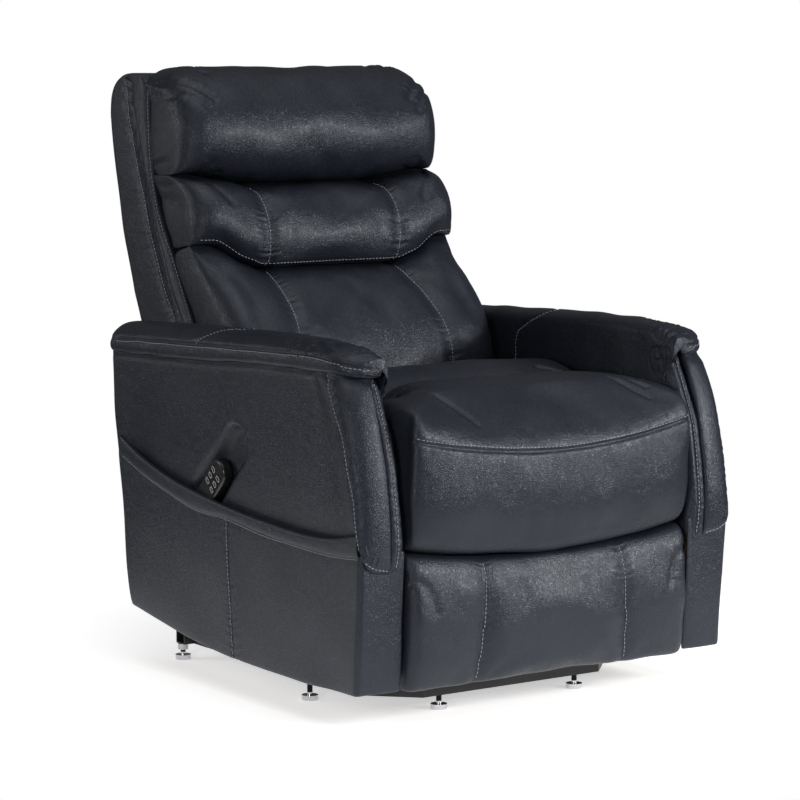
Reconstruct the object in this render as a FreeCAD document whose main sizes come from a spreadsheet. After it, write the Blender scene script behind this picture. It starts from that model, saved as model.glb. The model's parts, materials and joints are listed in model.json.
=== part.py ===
"""Lift recliner chair: a power lift base, a chair body on four lift links, a reclining back and a footrest.

Frame: millimetres, +Z up, the sitter faces -Y, and the sitter's right is -X. The origin is on the floor,
below the middle of the chair. Every part is drawn at rest: chair down, back upright, footrest closed.
"""
import FreeCAD, Part
import math
import os
import re
import Sketcher
from FreeCAD import Placement, Rotation, Vector

os.makedirs("parts", exist_ok=True)
doc = FreeCAD.newDocument("LiftRecliner")

# ---------------------------------------------------------------- driving dimensions
SIZES = {
    # widths, from the middle plane
    "ArmOutside": 407.5, "ArmInside": 313, "PanelOutside": 395, "PanelInside": 381, "PocketInside": 401,
    "LinerOutside": 372, "LinerInside": 366, "LiningInside": 328, "SeatHalf": 309, "BackHalf": 299,
    "ShellInside": 285, "FootHalf": 308,
    # lift base
    "BarFront": -388, "BarBack": -338, "BarHalf": 197, "BarLow": 27, "BarTop": 72, "PlateThick": 3,
    "RailInside": 262, "RailOutside": 284, "RailLow": 30, "RailTop": 70, "RailFront": -301, "RearTubeY": 262,
    "TubeHalf": 15, "RearTubeReach": 305, "PivotTubeY": -181, "SideFootX": 299, "MiddleFootY": -181,
    "FrontFootX": 152, "FrontFootY": -373, "StemRadius": 5, "FootRadius": 15, "FootHigh": 9, "NutRadius": 10,
    # lift linkage pivots
    "LiftY": -241.25, "LiftZ": 62.16, "ArmEndY": 126, "ArmEndZ": 90.49,
    "GuideY": -217, "GuideZ": 74.97, "GuideEndY": 225, "GuideEndZ": 120.24,
    "LinkThick": 8, "ArmPlane": 246, "GuidePlane": 230, "HangerPlane": 256, "InnerHanger": 222,
    "BracketThick": 6,
    "ArmRound": 15, "GuideRound": 11, "PinRadius": 7, "PinPlay": 0.05, "OpenPlay": 0.6, "CrossRadius": 12,
    "LiftMotorY": 205, "LiftMotorZ": 56.05, "LeverY": -215.96, "LeverZ": 180, "LiftEyePlay": 7,
    # chair carriage
    "CarriageLow": 215, "CarriageTop": 250, "CarriageFront": -400, "CarriageBack": 250, "RailsTop": 300,
    "BackMotorY": -39.96, "BackMotorZ": 164.96, "BackLeverY": 262, "BackLeverZ": 424.97, "BackEyePlay": 3.5,
    "HingeY": 215, "HingeZ": 470, "HingePin": 8, "MotorPin": 6,
    # footrest linkage
    "RestY": -300, "RestZ": 230, "KneeY": -146, "KneeZ": 153, "BoardY": -440, "BoardZ": 250,
    "RearLinkPlane": 287, "FrontLinkPlane": 295, "RestLinkThick": 6, "RestRound": 11, "RestPin": 5,
    "BoardPlane": 303.5, "FootBack": -470, "FootLow": 69, "FootTop": 285,
    # seat and back
    "SeatLow": 302, "SeatBack": 38, "SeatCrown": 566, "SeatFront": -525,
    # handset
    "HandsetX": 389, "HandsetY": 15, "HandsetZ": 352, "HandsetTurn": 47.5, "HandsetLean": 4.5,
    "HandsetRound": 26, "HandsetLow": -24, "HandsetHigh": 74, "HandsetThick": 21, "WellDeep": 3,
    "KeyWide": 14, "KeyHigh": 10, "KeyPitch": 17, "KeyGap": 0.4, "KeyProud": 1.2,
}
sheet = doc.addObject("Spreadsheet::Sheet", "Sizes")
for row, (alias, number) in enumerate(SIZES.items(), start=1):
    sheet.set(f"A{row}", alias)
    sheet.set(f"B{row}", str(number))
    sheet.setAlias(f"B{row}", alias)
doc.recompute()

TURN = {"x": Rotation(Vector(0, 1, 0), 90), "y": Rotation(Vector(1, 0, 0), -90), "z": Rotation()}


# ---------------------------------------------------------------- helpers
def bound(text):
    """An expression in which every size name points at the sheet."""
    return re.sub(r"[A-Z][A-Za-z]+", lambda word: "Sizes." + word.group(), str(text))


def size(text):
    """The number that an expression of size names has now."""
    return float(sheet.evalExpression(bound(text)))


def block(name, x, y, z):
    """A box between a low and a high place on each axis."""
    item = doc.addObject("Part::Box", name)
    for prop, (low, high) in (("Length", x), ("Width", y), ("Height", z)):
        item.setExpression(prop, bound(f"({high}) - ({low})"))
    for axis, (low, _) in zip("xyz", (x, y, z)):
        item.setExpression(f"Placement.Base.{axis}", bound(low))
    return item


def bar(name, axis, radius, span, centre):
    """A round bar along one axis; centre holds its places on the other two axes, in order."""
    item = doc.addObject("Part::Cylinder", name)
    item.Placement = Placement(Vector(), TURN[axis])
    item.setExpression("Radius", bound(radius))
    item.setExpression("Height", bound(f"({span[1]}) - ({span[0]})"))
    places = dict(zip([letter for letter in "xyz" if letter != axis], centre))
    places[axis] = span[0]
    for letter, place in places.items():
        item.setExpression(f"Placement.Base.{letter}", bound(place))
    return item


def fused(label, pieces):
    """Pieces that touch or cross, as one solid."""
    item = doc.addObject("Part::MultiFuse", label)
    item.Shapes = pieces
    item.Label = label
    return item


def cut(label, base, tool):
    """One piece less another."""
    item = doc.addObject("Part::Cut", label)
    item.Base, item.Tool = base, tool
    item.Label = label
    return item


def group(label, pieces):
    """Separate solids that are one named part."""
    item = doc.addObject("Part::Compound", label)
    item.Links = pieces
    item.Label = label
    return item


def mirrored(label, source):
    """The same piece on the other side of the middle plane."""
    item = doc.addObject("Part::Mirroring", label)
    item.Source = source
    item.Normal = Vector(1, 0, 0)
    item.Base = Vector()
    item.Label = label
    return item


def both_sides(label, source):
    """A piece and its mirror image, as separate solids of one part."""
    return group(label, [source, mirrored(label + "_mirror", source)])


def sketch_on(body, role, offset, name):
    """An empty sketch on one of the body's own origin planes, moved along the plane's normal."""
    plane = [item for item in body.Origin.OriginFeatures if item.Role == role][0]
    sketch = body.newObject("Sketcher::SketchObject", name)
    sketch.AttachmentSupport = [(plane, "")]
    sketch.MapMode = "FlatFace"
    sketch.setExpression("AttachmentOffset.Base.z", bound(offset))
    return sketch


def pin_point(sketch, geometry, which, place):
    """Ties one sketch point to its two places, each an expression."""
    for kind, text in zip(("DistanceX", "DistanceY"), place):
        index = sketch.addConstraint(Sketcher.Constraint(kind, -1, 1, geometry, which, size(text)))
        sketch.setExpression(f"Constraints[{index}]", bound(text))


def draw_outline(sketch, points):
    """A closed outline of straight runs through the given points."""
    places = [Vector(size(first), size(second), 0) for first, second in points]
    last = len(points) - 1
    for start, end in zip(places, places[1:] + places[:1]):
        sketch.addGeometry(Part.LineSegment(start, end))
    for index in range(len(points)):
        after = 0 if index == last else index + 1
        sketch.addConstraint(Sketcher.Constraint("Coincident", index, 2, after, 1))
    for index, point in enumerate(points):
        pin_point(sketch, index, 1, point)


def draw_slot(sketch, ends, radius):
    """A long outline with a half circle round each of two centres."""
    centres = [Vector(size(first), size(second), 0) for first, second in ends]
    reach, along = size(radius), centres[1] - centres[0]
    turn = math.atan2(along.y, along.x)
    side = Vector(-math.sin(turn), math.cos(turn), 0) * reach
    for centre, start in zip(centres, (turn + math.pi / 2, turn - math.pi / 2)):
        circle = Part.Circle(centre, Vector(0, 0, 1), reach)
        sketch.addGeometry(Part.ArcOfCircle(circle, start, start + math.pi))
    sketch.addGeometry(Part.LineSegment(centres[0] - side, centres[1] - side))
    sketch.addGeometry(Part.LineSegment(centres[1] + side, centres[0] + side))
    for first, point, second, other in ((0, 2, 2, 1), (2, 2, 1, 1), (1, 2, 3, 1), (3, 2, 0, 1)):
        sketch.addConstraint(Sketcher.Constraint("Tangent", first, point, second, other))
    index = sketch.addConstraint(Sketcher.Constraint("Radius", 0, reach))
    sketch.setExpression(f"Constraints[{index}]", bound(radius))
    for geometry, place in enumerate(ends):
        pin_point(sketch, geometry, 3, place)


def draw_hole(sketch, place, radius):
    """A round hole inside an outline."""
    centre = Vector(size(place[0]), size(place[1]), 0)
    geometry = sketch.addGeometry(Part.Circle(centre, Vector(0, 0, 1), size(radius)))
    index = sketch.addConstraint(Sketcher.Constraint("Radius", geometry, size(radius)))
    sketch.setExpression(f"Constraints[{index}]", bound(radius))
    pin_point(sketch, geometry, 3, place)


def padded(name, span, draw, role="YZ_Plane"):
    """A body with one sketch, drawn by the draw function and padded from span[0] to span[1]."""
    body = doc.addObject("PartDesign::Body", name)
    body.Label = name
    sketch = sketch_on(body, role, span[0], name + "_sketch")
    draw(sketch)
    pad = body.newObject("PartDesign::Pad", name + "_pad")
    pad.Profile = sketch
    pad.setExpression("Length", bound(f"({span[1]}) - ({span[0]})"))
    return body


def plate(name, span, points, role="YZ_Plane"):
    """A flat piece with a straight-sided outline."""
    return padded(name, span, lambda sketch: draw_outline(sketch, points), role)


def hollowed(body, start, depth, points, role="YZ_Plane", forwards=False):
    """Pockets an outline into a body from the plane at start, against that plane's normal or along it."""
    doc.recompute()
    before = body.Shape.Volume
    sketch = sketch_on(body, role, start, body.Name + "_hollow_sketch")
    draw_outline(sketch, points)
    pocket = body.newObject("PartDesign::Pocket", body.Name + "_hollow")
    pocket.Profile = sketch
    pocket.Reversed = forwards
    pocket.setExpression("Length", bound(depth))
    doc.recompute()
    if not body.Shape.Volume < before:
        raise ValueError(f"the pocket in {body.Name} cuts nothing")
    return body


def flat_link(name, span, ends, radius, holes):
    """A flat bar between two pivots, with a hole at each."""
    def draw(sketch):
        draw_slot(sketch, ends, radius)
        for place, hole in zip(ends, holes):
            draw_hole(sketch, place, hole)
    return padded(name, span, draw)


def softened(body, radius, chosen):
    """Rounds those of a body's edges that the chosen function accepts."""
    doc.recompute()
    base = body.Tip
    names = [f"Edge{number}" for number, edge in enumerate(base.Shape.Edges, start=1) if chosen(edge)]
    fillet = body.newObject("PartDesign::Fillet", body.Name + "_fillet")
    fillet.Base = (base, names)
    fillet.Radius = radius
    doc.recompute()
    return body


# ---------------------------------------------------------------- lift base
def base_front_channel():
    """Pressed channel, open below, whose ends bend back at 45 degrees to the side tubes."""
    outer = [("-BarHalf", "BarFront"), ("BarHalf", "BarFront"), ("RailOutside", "RailFront"),
             ("RailInside", "RailFront"), ("BarHalf + 8", "BarBack"), ("-BarHalf - 8", "BarBack"),
             ("-RailInside", "RailFront"), ("-RailOutside", "RailFront")]
    body = plate("base_front_channel", ("BarLow", "BarTop"), outer, "XY_Plane")
    inner = [("-BarHalf + 2", "BarFront + PlateThick"), ("BarHalf - 2", "BarFront + PlateThick"),
             ("RailInside + 10", "RailFront - 8"), ("RailInside - 2", "RailFront - 6"),
             ("BarHalf + 9", "BarBack - PlateThick"), ("-BarHalf - 9", "BarBack - PlateThick"),
             ("-RailInside + 2", "RailFront - 6"), ("-RailInside - 10", "RailFront - 8")]
    return hollowed(body, "BarLow", "BarTop - BarLow - PlateThick", inner, "XY_Plane", True)


def square_tube(name, x, y, z, along):
    """A thin-walled box tube, open at both ends of one axis."""
    inner = {}
    for axis, (low, high) in zip("xyz", (x, y, z)):
        wall = "-1" if axis == along else "2"
        inner[axis] = (f"{low} + {wall}", f"{high} - ({wall})")
    return cut(name, block(name + "_outer", x, y, z),
               block(name + "_inner", inner["x"], inner["y"], inner["z"]))


FEET = [
    ("front", "FrontFootX", "FrontFootY", "BarTop - PlateThick"),
    ("middle", "SideFootX", "MiddleFootY", "RailLow + 14"),
    ("rear", "SideFootX", "RearTubeY", "RailLow"),
]
SIDES = (("right", "-"), ("left", ""))


def lift_base():
    parts = {"base_front_channel": base_front_channel()}
    side = square_tube("base_side_tube", ("-RailOutside", "-RailInside"),
                       ("RailFront", "RearTubeY - TubeHalf"), ("RailLow", "RailTop"), "y")
    parts["base_side_tubes"] = both_sides("base_side_tubes", side)
    rear = square_tube("base_rear_tube", ("-RearTubeReach", "RearTubeReach"),
                       ("RearTubeY - TubeHalf", "RearTubeY + TubeHalf"),
                       ("RailLow", "RailLow + 2 * TubeHalf"), "x")
    pivot = square_tube("base_pivot_tube", ("-RailInside", "RailInside"),
                        ("PivotTubeY - TubeHalf", "PivotTubeY + TubeHalf"),
                       ("RailLow", "RailLow + TubeHalf"), "x")
    parts["base_cross_tubes"] = group("base_cross_tubes", [rear, pivot])
    # ears that carry the middle feet, and a threaded nut over every foot
    ear = block("foot_ear", ("-SideFootX - 13", "-RailOutside"), ("MiddleFootY - 18", "MiddleFootY + 18"),
                ("RailLow + 14", "RailLow + 20"))
    parts["foot_brackets"] = both_sides("foot_brackets", ear)
    nuts = []
    for place, across, along, ceiling in FEET:
        for name, sign in SIDES:
            centre = (f"{sign}{across}", along)
            nut = bar(f"{place}_{name}_nut", "z", "NutRadius", (f"{ceiling} - 11", ceiling), centre)
            hole = bar(f"{place}_{name}_nut_hole", "z", "StemRadius + 0.3",
                       (f"{ceiling} - 12", f"{ceiling} + 1"), centre)
            nuts.append(cut(f"{place}_{name}_nut_cut", nut, hole))
    parts["foot_nuts"] = group("foot_nuts", nuts)
    # brackets beside the lift arms and inside the guide links, each with its pin
    outer = plate("lift_arm_bracket", ("-HangerPlane - BracketThick", "-HangerPlane"), [
        ("LiftY - 18", "RailLow + 6"), ("LiftY + 18", "RailLow + 6"), ("LiftY + 14", "LiftZ + 14"),
        ("LiftY - 14", "LiftZ + 14")])
    inner = plate("guide_link_bracket", ("-InnerHanger - BracketThick", "-InnerHanger"), [
        ("PivotTubeY - TubeHalf", "RailLow + TubeHalf"), ("PivotTubeY + TubeHalf", "RailLow + TubeHalf"),
        ("GuideY + 14", "GuideZ + 11"), ("GuideY - 9", "GuideZ + 11"), ("GuideY - 9", "GuideZ - 12")])
    parts["base_pivot_brackets"] = group("base_pivot_brackets", [
        outer, mirrored("lift_arm_bracket_left", outer), inner, mirrored("guide_link_bracket_left", inner)])
    arm_pin = bar("lift_arm_pin", "x", "PinRadius", ("-HangerPlane", "-ArmPlane"), ("LiftY", "LiftZ"))
    guide_pin = bar("guide_link_pin", "x", "PinRadius", ("-GuidePlane - LinkThick - 2", "-GuidePlane + 2"),
                    ("GuideY", "GuideZ"))
    parts["base_pivot_pins"] = group("base_pivot_pins", [
        arm_pin, mirrored("lift_arm_pin_left", arm_pin),
        guide_pin, mirrored("guide_link_pin_left", guide_pin)])
    # two lugs on the rear tube, with the pin that the lift actuator swings on
    lug = plate("lift_motor_lug", ("10", "16"), [
        ("RearTubeY - TubeHalf", "RailLow + 2"), ("RearTubeY - TubeHalf", "RailLow + 2 * TubeHalf"),
        ("LiftMotorY + 10", "LiftMotorZ + 15"), ("LiftMotorY - 14", "LiftMotorZ + 15"),
        ("LiftMotorY - 14", "LiftMotorZ - 15")])
    pin = bar("lift_motor_pin", "x", "MotorPin", ("-10", "10"), ("LiftMotorY", "LiftMotorZ"))
    parts["lift_motor_bracket"] = fused("lift_motor_bracket", [
        lug, mirrored("lift_motor_lug_right", lug), pin])
    return parts


def feet():
    """Levelling feet: a threaded stem on a round pad."""
    parts = {}
    for place, across, along, ceiling in FEET:
        for name, sign in SIDES:
            label = f"{place}_{name}_foot"
            centre = (f"{sign}{across}", along)
            stem = bar(label + "_stem", "z", "StemRadius", ("FootHigh - 1", f"{ceiling} - 0.5"), centre)
            pad = bar(label + "_pad", "z", "FootRadius", ("0", "FootHigh"), centre)
            parts[label] = fused(label, [stem, pad])
    return parts


# ---------------------------------------------------------------- lift linkage and actuators
def lift_links():
    arm = flat_link("lift_arm", ("-ArmPlane - LinkThick", "-ArmPlane"),
                    [("LiftY", "LiftZ"), ("ArmEndY", "ArmEndZ")], "ArmRound", ["PinRadius + PinPlay"] * 2)
    tube = bar("lift_cross_bar", "x", "CrossRadius", ("-ArmPlane", "ArmPlane"), ("LiftY", "LiftZ"))
    lever = flat_link("lift_lever_plate", ("-18", "-12"), [("LiftY", "LiftZ"), ("LeverY", "LeverZ")], "17",
                      ["CrossRadius", "MotorPin"])
    pin = bar("lift_lever_pin", "x", "MotorPin", ("-18", "18"), ("LeverY", "LeverZ"))
    guide = flat_link("guide_link", ("-GuidePlane - LinkThick", "-GuidePlane"),
                      [("GuideY", "GuideZ"), ("GuideEndY", "GuideEndZ")], "GuideRound",
                      ["PinRadius + PinPlay", "PinRadius + OpenPlay"])
    return {
        "lift_arms": both_sides("lift_arms", arm),
        "lift_cross_bar": tube,
        "lift_lever": group("lift_lever", [lever, mirrored("lift_lever_plate_left", lever), pin]),
        "guide_links": both_sides("guide_links", guide),
    }


def actuator(name, foot, head, travel, eye_play):
    """A gearmotor housing with its outer tube, and the rod that slides in it.

    foot and head are the pivots' places in Y and Z. travel is how far the rod moves out (or in, if negative).
    """
    start = Vector(0, size(foot[0]), size(foot[1]))
    along = Vector(0, size(head[0]), size(head[1])) - start
    frame = Placement(start, Rotation(Vector(0, 0, 1), along))
    sideways = frame.Rotation.multVec(Vector(1, 0, 0))
    if abs(abs(sideways.x) - 1) > 1e-6:
        frame = Placement(start, Rotation(Vector(1, 0, 0), math.degrees(math.atan2(-along.y, along.z))))
    length, nose = along.Length, 26
    mouth = length - nose - max(0, -travel)
    tail = mouth - 26 - max(0, travel)

    def local(kind, label, place, **sizes):
        item = doc.addObject(kind, label)
        for prop, value in sizes.items():
            setattr(item, prop, value)
        item.Placement = frame.multiply(place)
        return item

    def cylinder(label, radius, low, high):
        return local("Part::Cylinder", label, Placement(Vector(0, 0, low), Rotation()), Radius=radius,
                     Height=high - low)

    def eye(label, radius, height, high, low):
        """A flat eye across the axis, with its neck towards the body."""
        ring = local("Part::Cylinder", label, Placement(Vector(-8, 0, height), TURN["x"]), Radius=radius,
                     Height=16)
        neck = local("Part::Box", label + "_neck", Placement(Vector(-8, -9, low), Rotation()), Length=16,
                     Width=18, Height=high - low)
        return [ring, neck]

    housing = local("Part::Box", name + "_gearbox", Placement(Vector(-28, -22, 24), Rotation()), Length=56,
                    Width=44, Height=70)
    barrel = cylinder(name + "_barrel", 17, 90, mouth)
    solid = fused(name + "_solid", [housing, barrel] + eye(name + "_foot", 14, 0, 26, 4))
    bore = cylinder(name + "_bore", 9.3, tail - 8 - max(0, -travel), mouth + 1)
    foot_hole = local("Part::Cylinder", name + "_foot_hole", Placement(Vector(-9, 0, 0), TURN["x"]),
                      Radius=size("MotorPin + PinPlay"), Height=18)
    body = cut(name + "_housing", cut(name + "_bored", solid, bore), foot_hole)
    opening = size("MotorPin") + eye_play
    rod = fused(name + "_rod_solid", [cylinder(name + "_shaft", 9, tail, length - 15)]
                + eye(name + "_head", opening + 5, length, length - opening, length - nose))
    hole = local("Part::Cylinder", name + "_head_hole", Placement(Vector(-9, 0, length), TURN["x"]),
                 Radius=opening, Height=18)
    return {name + "_housing": body, name + "_rod": cut(name + "_rod", rod, hole)}


# ---------------------------------------------------------------- chair carriage
def carriage():
    rail = square_tube("carriage_rail", ("-RailOutside", "-RailInside"), ("CarriageFront", "CarriageBack"),
                       ("CarriageLow", "CarriageTop"), "y")
    tubes = []
    for name, place in (("front", "-375"), ("motor", "-55"), ("rear", "240")):
        tubes.append(square_tube(f"carriage_{name}_tube", ("-RailInside", "RailInside"),
                                 (f"{place} - TubeHalf", f"{place} + TubeHalf"),
                                 ("CarriageLow + 3", "CarriageLow + 3 + 2 * TubeHalf"), "x"))
    outer = plate("arm_hanger", ("-HangerPlane - BracketThick", "-HangerPlane"), [
        ("ArmEndY - 14", "ArmEndZ - 13"), ("ArmEndY + 14", "ArmEndZ - 13"),
        ("ArmEndY + 40", "CarriageTop - 4"), ("ArmEndY - 40", "CarriageTop - 4")])
    inner = plate("guide_hanger", ("-InnerHanger - BracketThick", "-InnerHanger"), [
        ("GuideEndY - 13", "GuideEndZ - 13"), ("GuideEndY + 13", "GuideEndZ - 13"),
        ("240 + TubeHalf", "CarriageLow + 3"), ("240 - TubeHalf", "CarriageLow + 3")])
    arm_pin = bar("arm_end_pin", "x", "PinRadius", ("-HangerPlane", "-ArmPlane + 2"), ("ArmEndY", "ArmEndZ"))
    guide_pin = bar("guide_end_pin", "x", "PinRadius",
                    ("-GuidePlane - LinkThick - 2", "-InnerHanger - BracketThick"),
                    ("GuideEndY", "GuideEndZ"))
    back_pin = bar("back_hinge_pin", "x", "HingePin", ("-ArmInside", "-RailInside - 10"),
                   ("HingeY", "HingeZ"))
    rest_pin = bar("footrest_pin", "x", "RestPin", ("-RearLinkPlane - RestLinkThick - 1", "-RailOutside"),
                   ("RestY", "RestZ"))
    pins = []
    for pin in (arm_pin, guide_pin, back_pin, rest_pin):
        pins += [pin, mirrored(pin.Name + "_left", pin)]
    lug = plate("back_motor_lug", ("10", "16"), [
        ("BackMotorY - 13", "BackMotorZ - 13"), ("BackMotorY + 13", "BackMotorZ - 13"),
        ("BackMotorY + 13", "BackMotorZ + 7"), ("BackMotorY - 4", "BackMotorZ + 25"),
        ("BackMotorY - 4", "CarriageLow + 3"), ("BackMotorY - 29", "CarriageLow + 3")])
    pin = bar("back_motor_pin", "x", "MotorPin", ("-10", "10"), ("BackMotorY", "BackMotorZ"))
    return {
        "carriage_rails": both_sides("carriage_rails", rail),
        "carriage_cross_tubes": group("carriage_cross_tubes", tubes),
        "carriage_hangers": group("carriage_hangers", [
            outer, mirrored("arm_hanger_left", outer), inner, mirrored("guide_hanger_left", inner)]),
        "carriage_pins": group("carriage_pins", pins),
        "back_motor_bracket": fused("back_motor_bracket", [lug, mirrored("back_motor_lug_right", lug), pin]),
    }


def sinuous_spring(name, across, front, back, height):
    """A zigzag seat wire: straight cross runs joined by half circles."""
    reach, turns, radius = 16, 14, 1.8
    pitch = (back - front) / turns
    edges, side = [], 1
    here = Vector(across, front, height)
    for index in range(turns):
        corner = Vector(across + side * reach, here.y, height)
        edges.append(Part.LineSegment(here, corner).toShape())
        bulge = Vector(corner.x + side * pitch / 2, corner.y + pitch / 2, height)
        after = Vector(corner.x, corner.y + pitch, height)
        edges.append(Part.Arc(corner, bulge, after).toShape())
        last = Vector(across, after.y, height)
        if index == turns - 1:
            edges.append(Part.LineSegment(after, last).toShape())
        here, side = after, -side
    path = Part.Wire(edges)
    section = Part.Wire([Part.makeCircle(radius, Vector(across, front, height), Vector(1, 0, 0))])
    item = doc.addObject("Part::Feature", name)
    item.Shape = path.makePipeShell([section], True, False)
    return item


def seat():
    rails = [block("seat_right_rail", ("-RailOutside", "-RailInside"), ("-440", "SeatBack + 60"),
                   ("CarriageTop", "RailsTop"))]
    rails.append(mirrored("seat_left_rail", rails[0]))
    for name, low in (("front", "-440"), ("rear", "SeatBack - 46")):
        rails.append(block(f"seat_{name}_rail", ("-RailInside", "RailInside"), (low, f"{low} + 28"),
                           ("CarriageTop", "RailsTop")))
    springs = []
    for index in range(5):
        springs.append(sinuous_spring(f"seat_spring_{index + 1}", -200 + 100 * index, -409.9, -10.1, 297))
    cushion = plate("seat_cushion", ("-SeatHalf", "SeatHalf"), [
        ("SeatBack", "SeatLow"), ("-440", "SeatLow"), ("-478", "SeatLow - 10"), ("-507", "320"),
        ("-522", "400"), ("SeatFront", "470"), ("-515", "520"), ("-480", "552"), ("-410", "SeatCrown"),
        ("-330", "SeatCrown - 1"), ("-230", "548"), ("-80", "538"), ("SeatBack", "530")])
    return {
        "seat_rails": group("seat_rails", rails),
        "seat_springs": group("seat_springs", springs),
        "seat_cushion": cushion,
    }


# outlines of the arm, from the side: the front pad's back edge, the pocket's mouth and the sloping lower edge
PAD_BACK = [("-478", "300"), ("-466", "408"), ("-445", "507"), ("-397", "612")]
PAD_FRONT = [("-432", "655"), ("-463", "539"), ("-484", "449"), ("-497", "377"), ("-500", "331"),
             ("-497", "296")]
LOWER_EDGE = [("-485", "70"), ("-103", "70"), ("106", "89"), ("262", "113"), ("275", "124"), ("303", "330")]
MOUTH = [("318", "430"), ("158", "385"), ("-5", "349"), ("-155", "332"), ("-374", "329"), ("-473", "340")]
REAR_UPPER = [("318", "424"), ("334", "499"), ("335", "592")]


def arms():
    parts = {}
    # the handset's window in the right panel, set out along and across the handset's slant
    window = [(f"HandsetY - {up} * sin(HandsetTurn) + {across} * cos(HandsetTurn)",
               f"HandsetZ + {up} * cos(HandsetTurn) + {across} * sin(HandsetTurn)")
              for up, across in ((-54, 28), (-54, -28), (165, -28), (165, 28))]
    raised = [(along, f"{up} + 0.5") for along, up in MOUTH]
    side = plate("right_side_panel", ("-PanelOutside", "-PanelInside"),
                 raised[::-1] + REAR_UPPER[1:] + PAD_BACK[:0:-1])
    side = hollowed(side, "-PanelInside", "PanelOutside - PanelInside", window)
    pocket = plate("right_pocket_front", ("-ArmOutside", "-LinerOutside"),
                   LOWER_EDGE + MOUTH + [PAD_BACK[0], PAD_FRONT[-1], ("-497", "229")])
    pocket = hollowed(pocket, "-LinerOutside", "PocketInside - LinerOutside", [
        ("-460", "110"), ("-100", "110"), ("100", "128"), ("242", "152"), ("262", "330"), ("280", "460"),
        ("-5", "440"), ("-450", "400")])
    lining = plate("right_arm_lining", ("-LiningInside", "-ArmInside"),
                   LOWER_EDGE + REAR_UPPER + [PAD_BACK[-1]] + PAD_FRONT + [("-497", "229")])
    front = plate("right_arm_front_pad", ("-ArmOutside", "-LiningInside"), PAD_BACK + PAD_FRONT)
    top = plate("right_arm_pad", ("-ArmOutside", "-ArmInside"), [
        ("335", "592"), ("-397", "612"), ("-432", "655"), ("-416", "672"), ("-370", "681"), ("-71", "676"),
        ("195", "662"), ("309", "644"), ("340", "622")])
    board = plate("right_arm_board", ("-LinerOutside", "-LinerInside"), [
        ("-470", "76"), ("-104", "76"), ("104", "95"), ("250", "117"), ("270", "330"), ("300", "499"),
        ("302", "585"), ("-392", "600"), ("-440", "500"), ("-462", "400"), ("-470", "300")])
    bay = ("-LinerInside", "-LiningInside")
    frame = group("right_arm_frame", [
        board,
        block("right_arm_bottom_rail", bay, ("-460", "230"), ("120", "160")),
        block("right_arm_front_post", bay, ("-420", "-390"), ("160", "555")),
        block("right_arm_rear_post", bay, ("200", "230"), ("160", "555")),
        block("right_arm_top_rail", bay, ("-390", "200"), ("525", "555")),
        plate("right_arm_rear_board", ("-LinerOutside", "-LiningInside"), [
            ("256", "118"), ("263", "118"), ("301", "330"), ("333", "499"), ("334", "585"), ("326", "585"),
            ("325", "499"), ("293", "330")]),
        block("right_arm_toe_board", ("-LinerOutside", "-LiningInside"), ("-482", "-472"), ("76", "285")),
    ])
    pieces = {"side_panel": side, "pocket_front": pocket, "arm_lining": lining, "arm_front_pad": front,
              "arm_pad": top, "arm_frame": frame}
    for name, piece in pieces.items():
        parts["right_" + name] = piece
        parts["left_" + name] = mirrored("left_" + name, piece)
    return parts


def rear_panel():
    return plate("rear_panel", ("-ArmInside + 0.5", "ArmInside - 0.5"), [
        ("272", "118"), ("300", "330"), ("307", "385"), ("299", "385"), ("292", "331"), ("264", "119")])


def control_box():
    """The control box on the rear cross tube, with the power lead's inlet in its rear face."""
    shell = block("control_box_shell", ("-235", "-105"), ("150", "262"),
                  ("CarriageTop - 2", "CarriageTop + 46"))
    inlet = block("control_box_inlet", ("-182", "-158"), ("248", "263"),
                  ("CarriageTop + 14", "CarriageTop + 28"))
    return cut("control_box", shell, inlet)


# ---------------------------------------------------------------- back
FACING = [("185", "560"), ("226", "646"), ("299", "770"), ("361", "882"), ("381", "1020"), ("376", "1090")]


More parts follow.
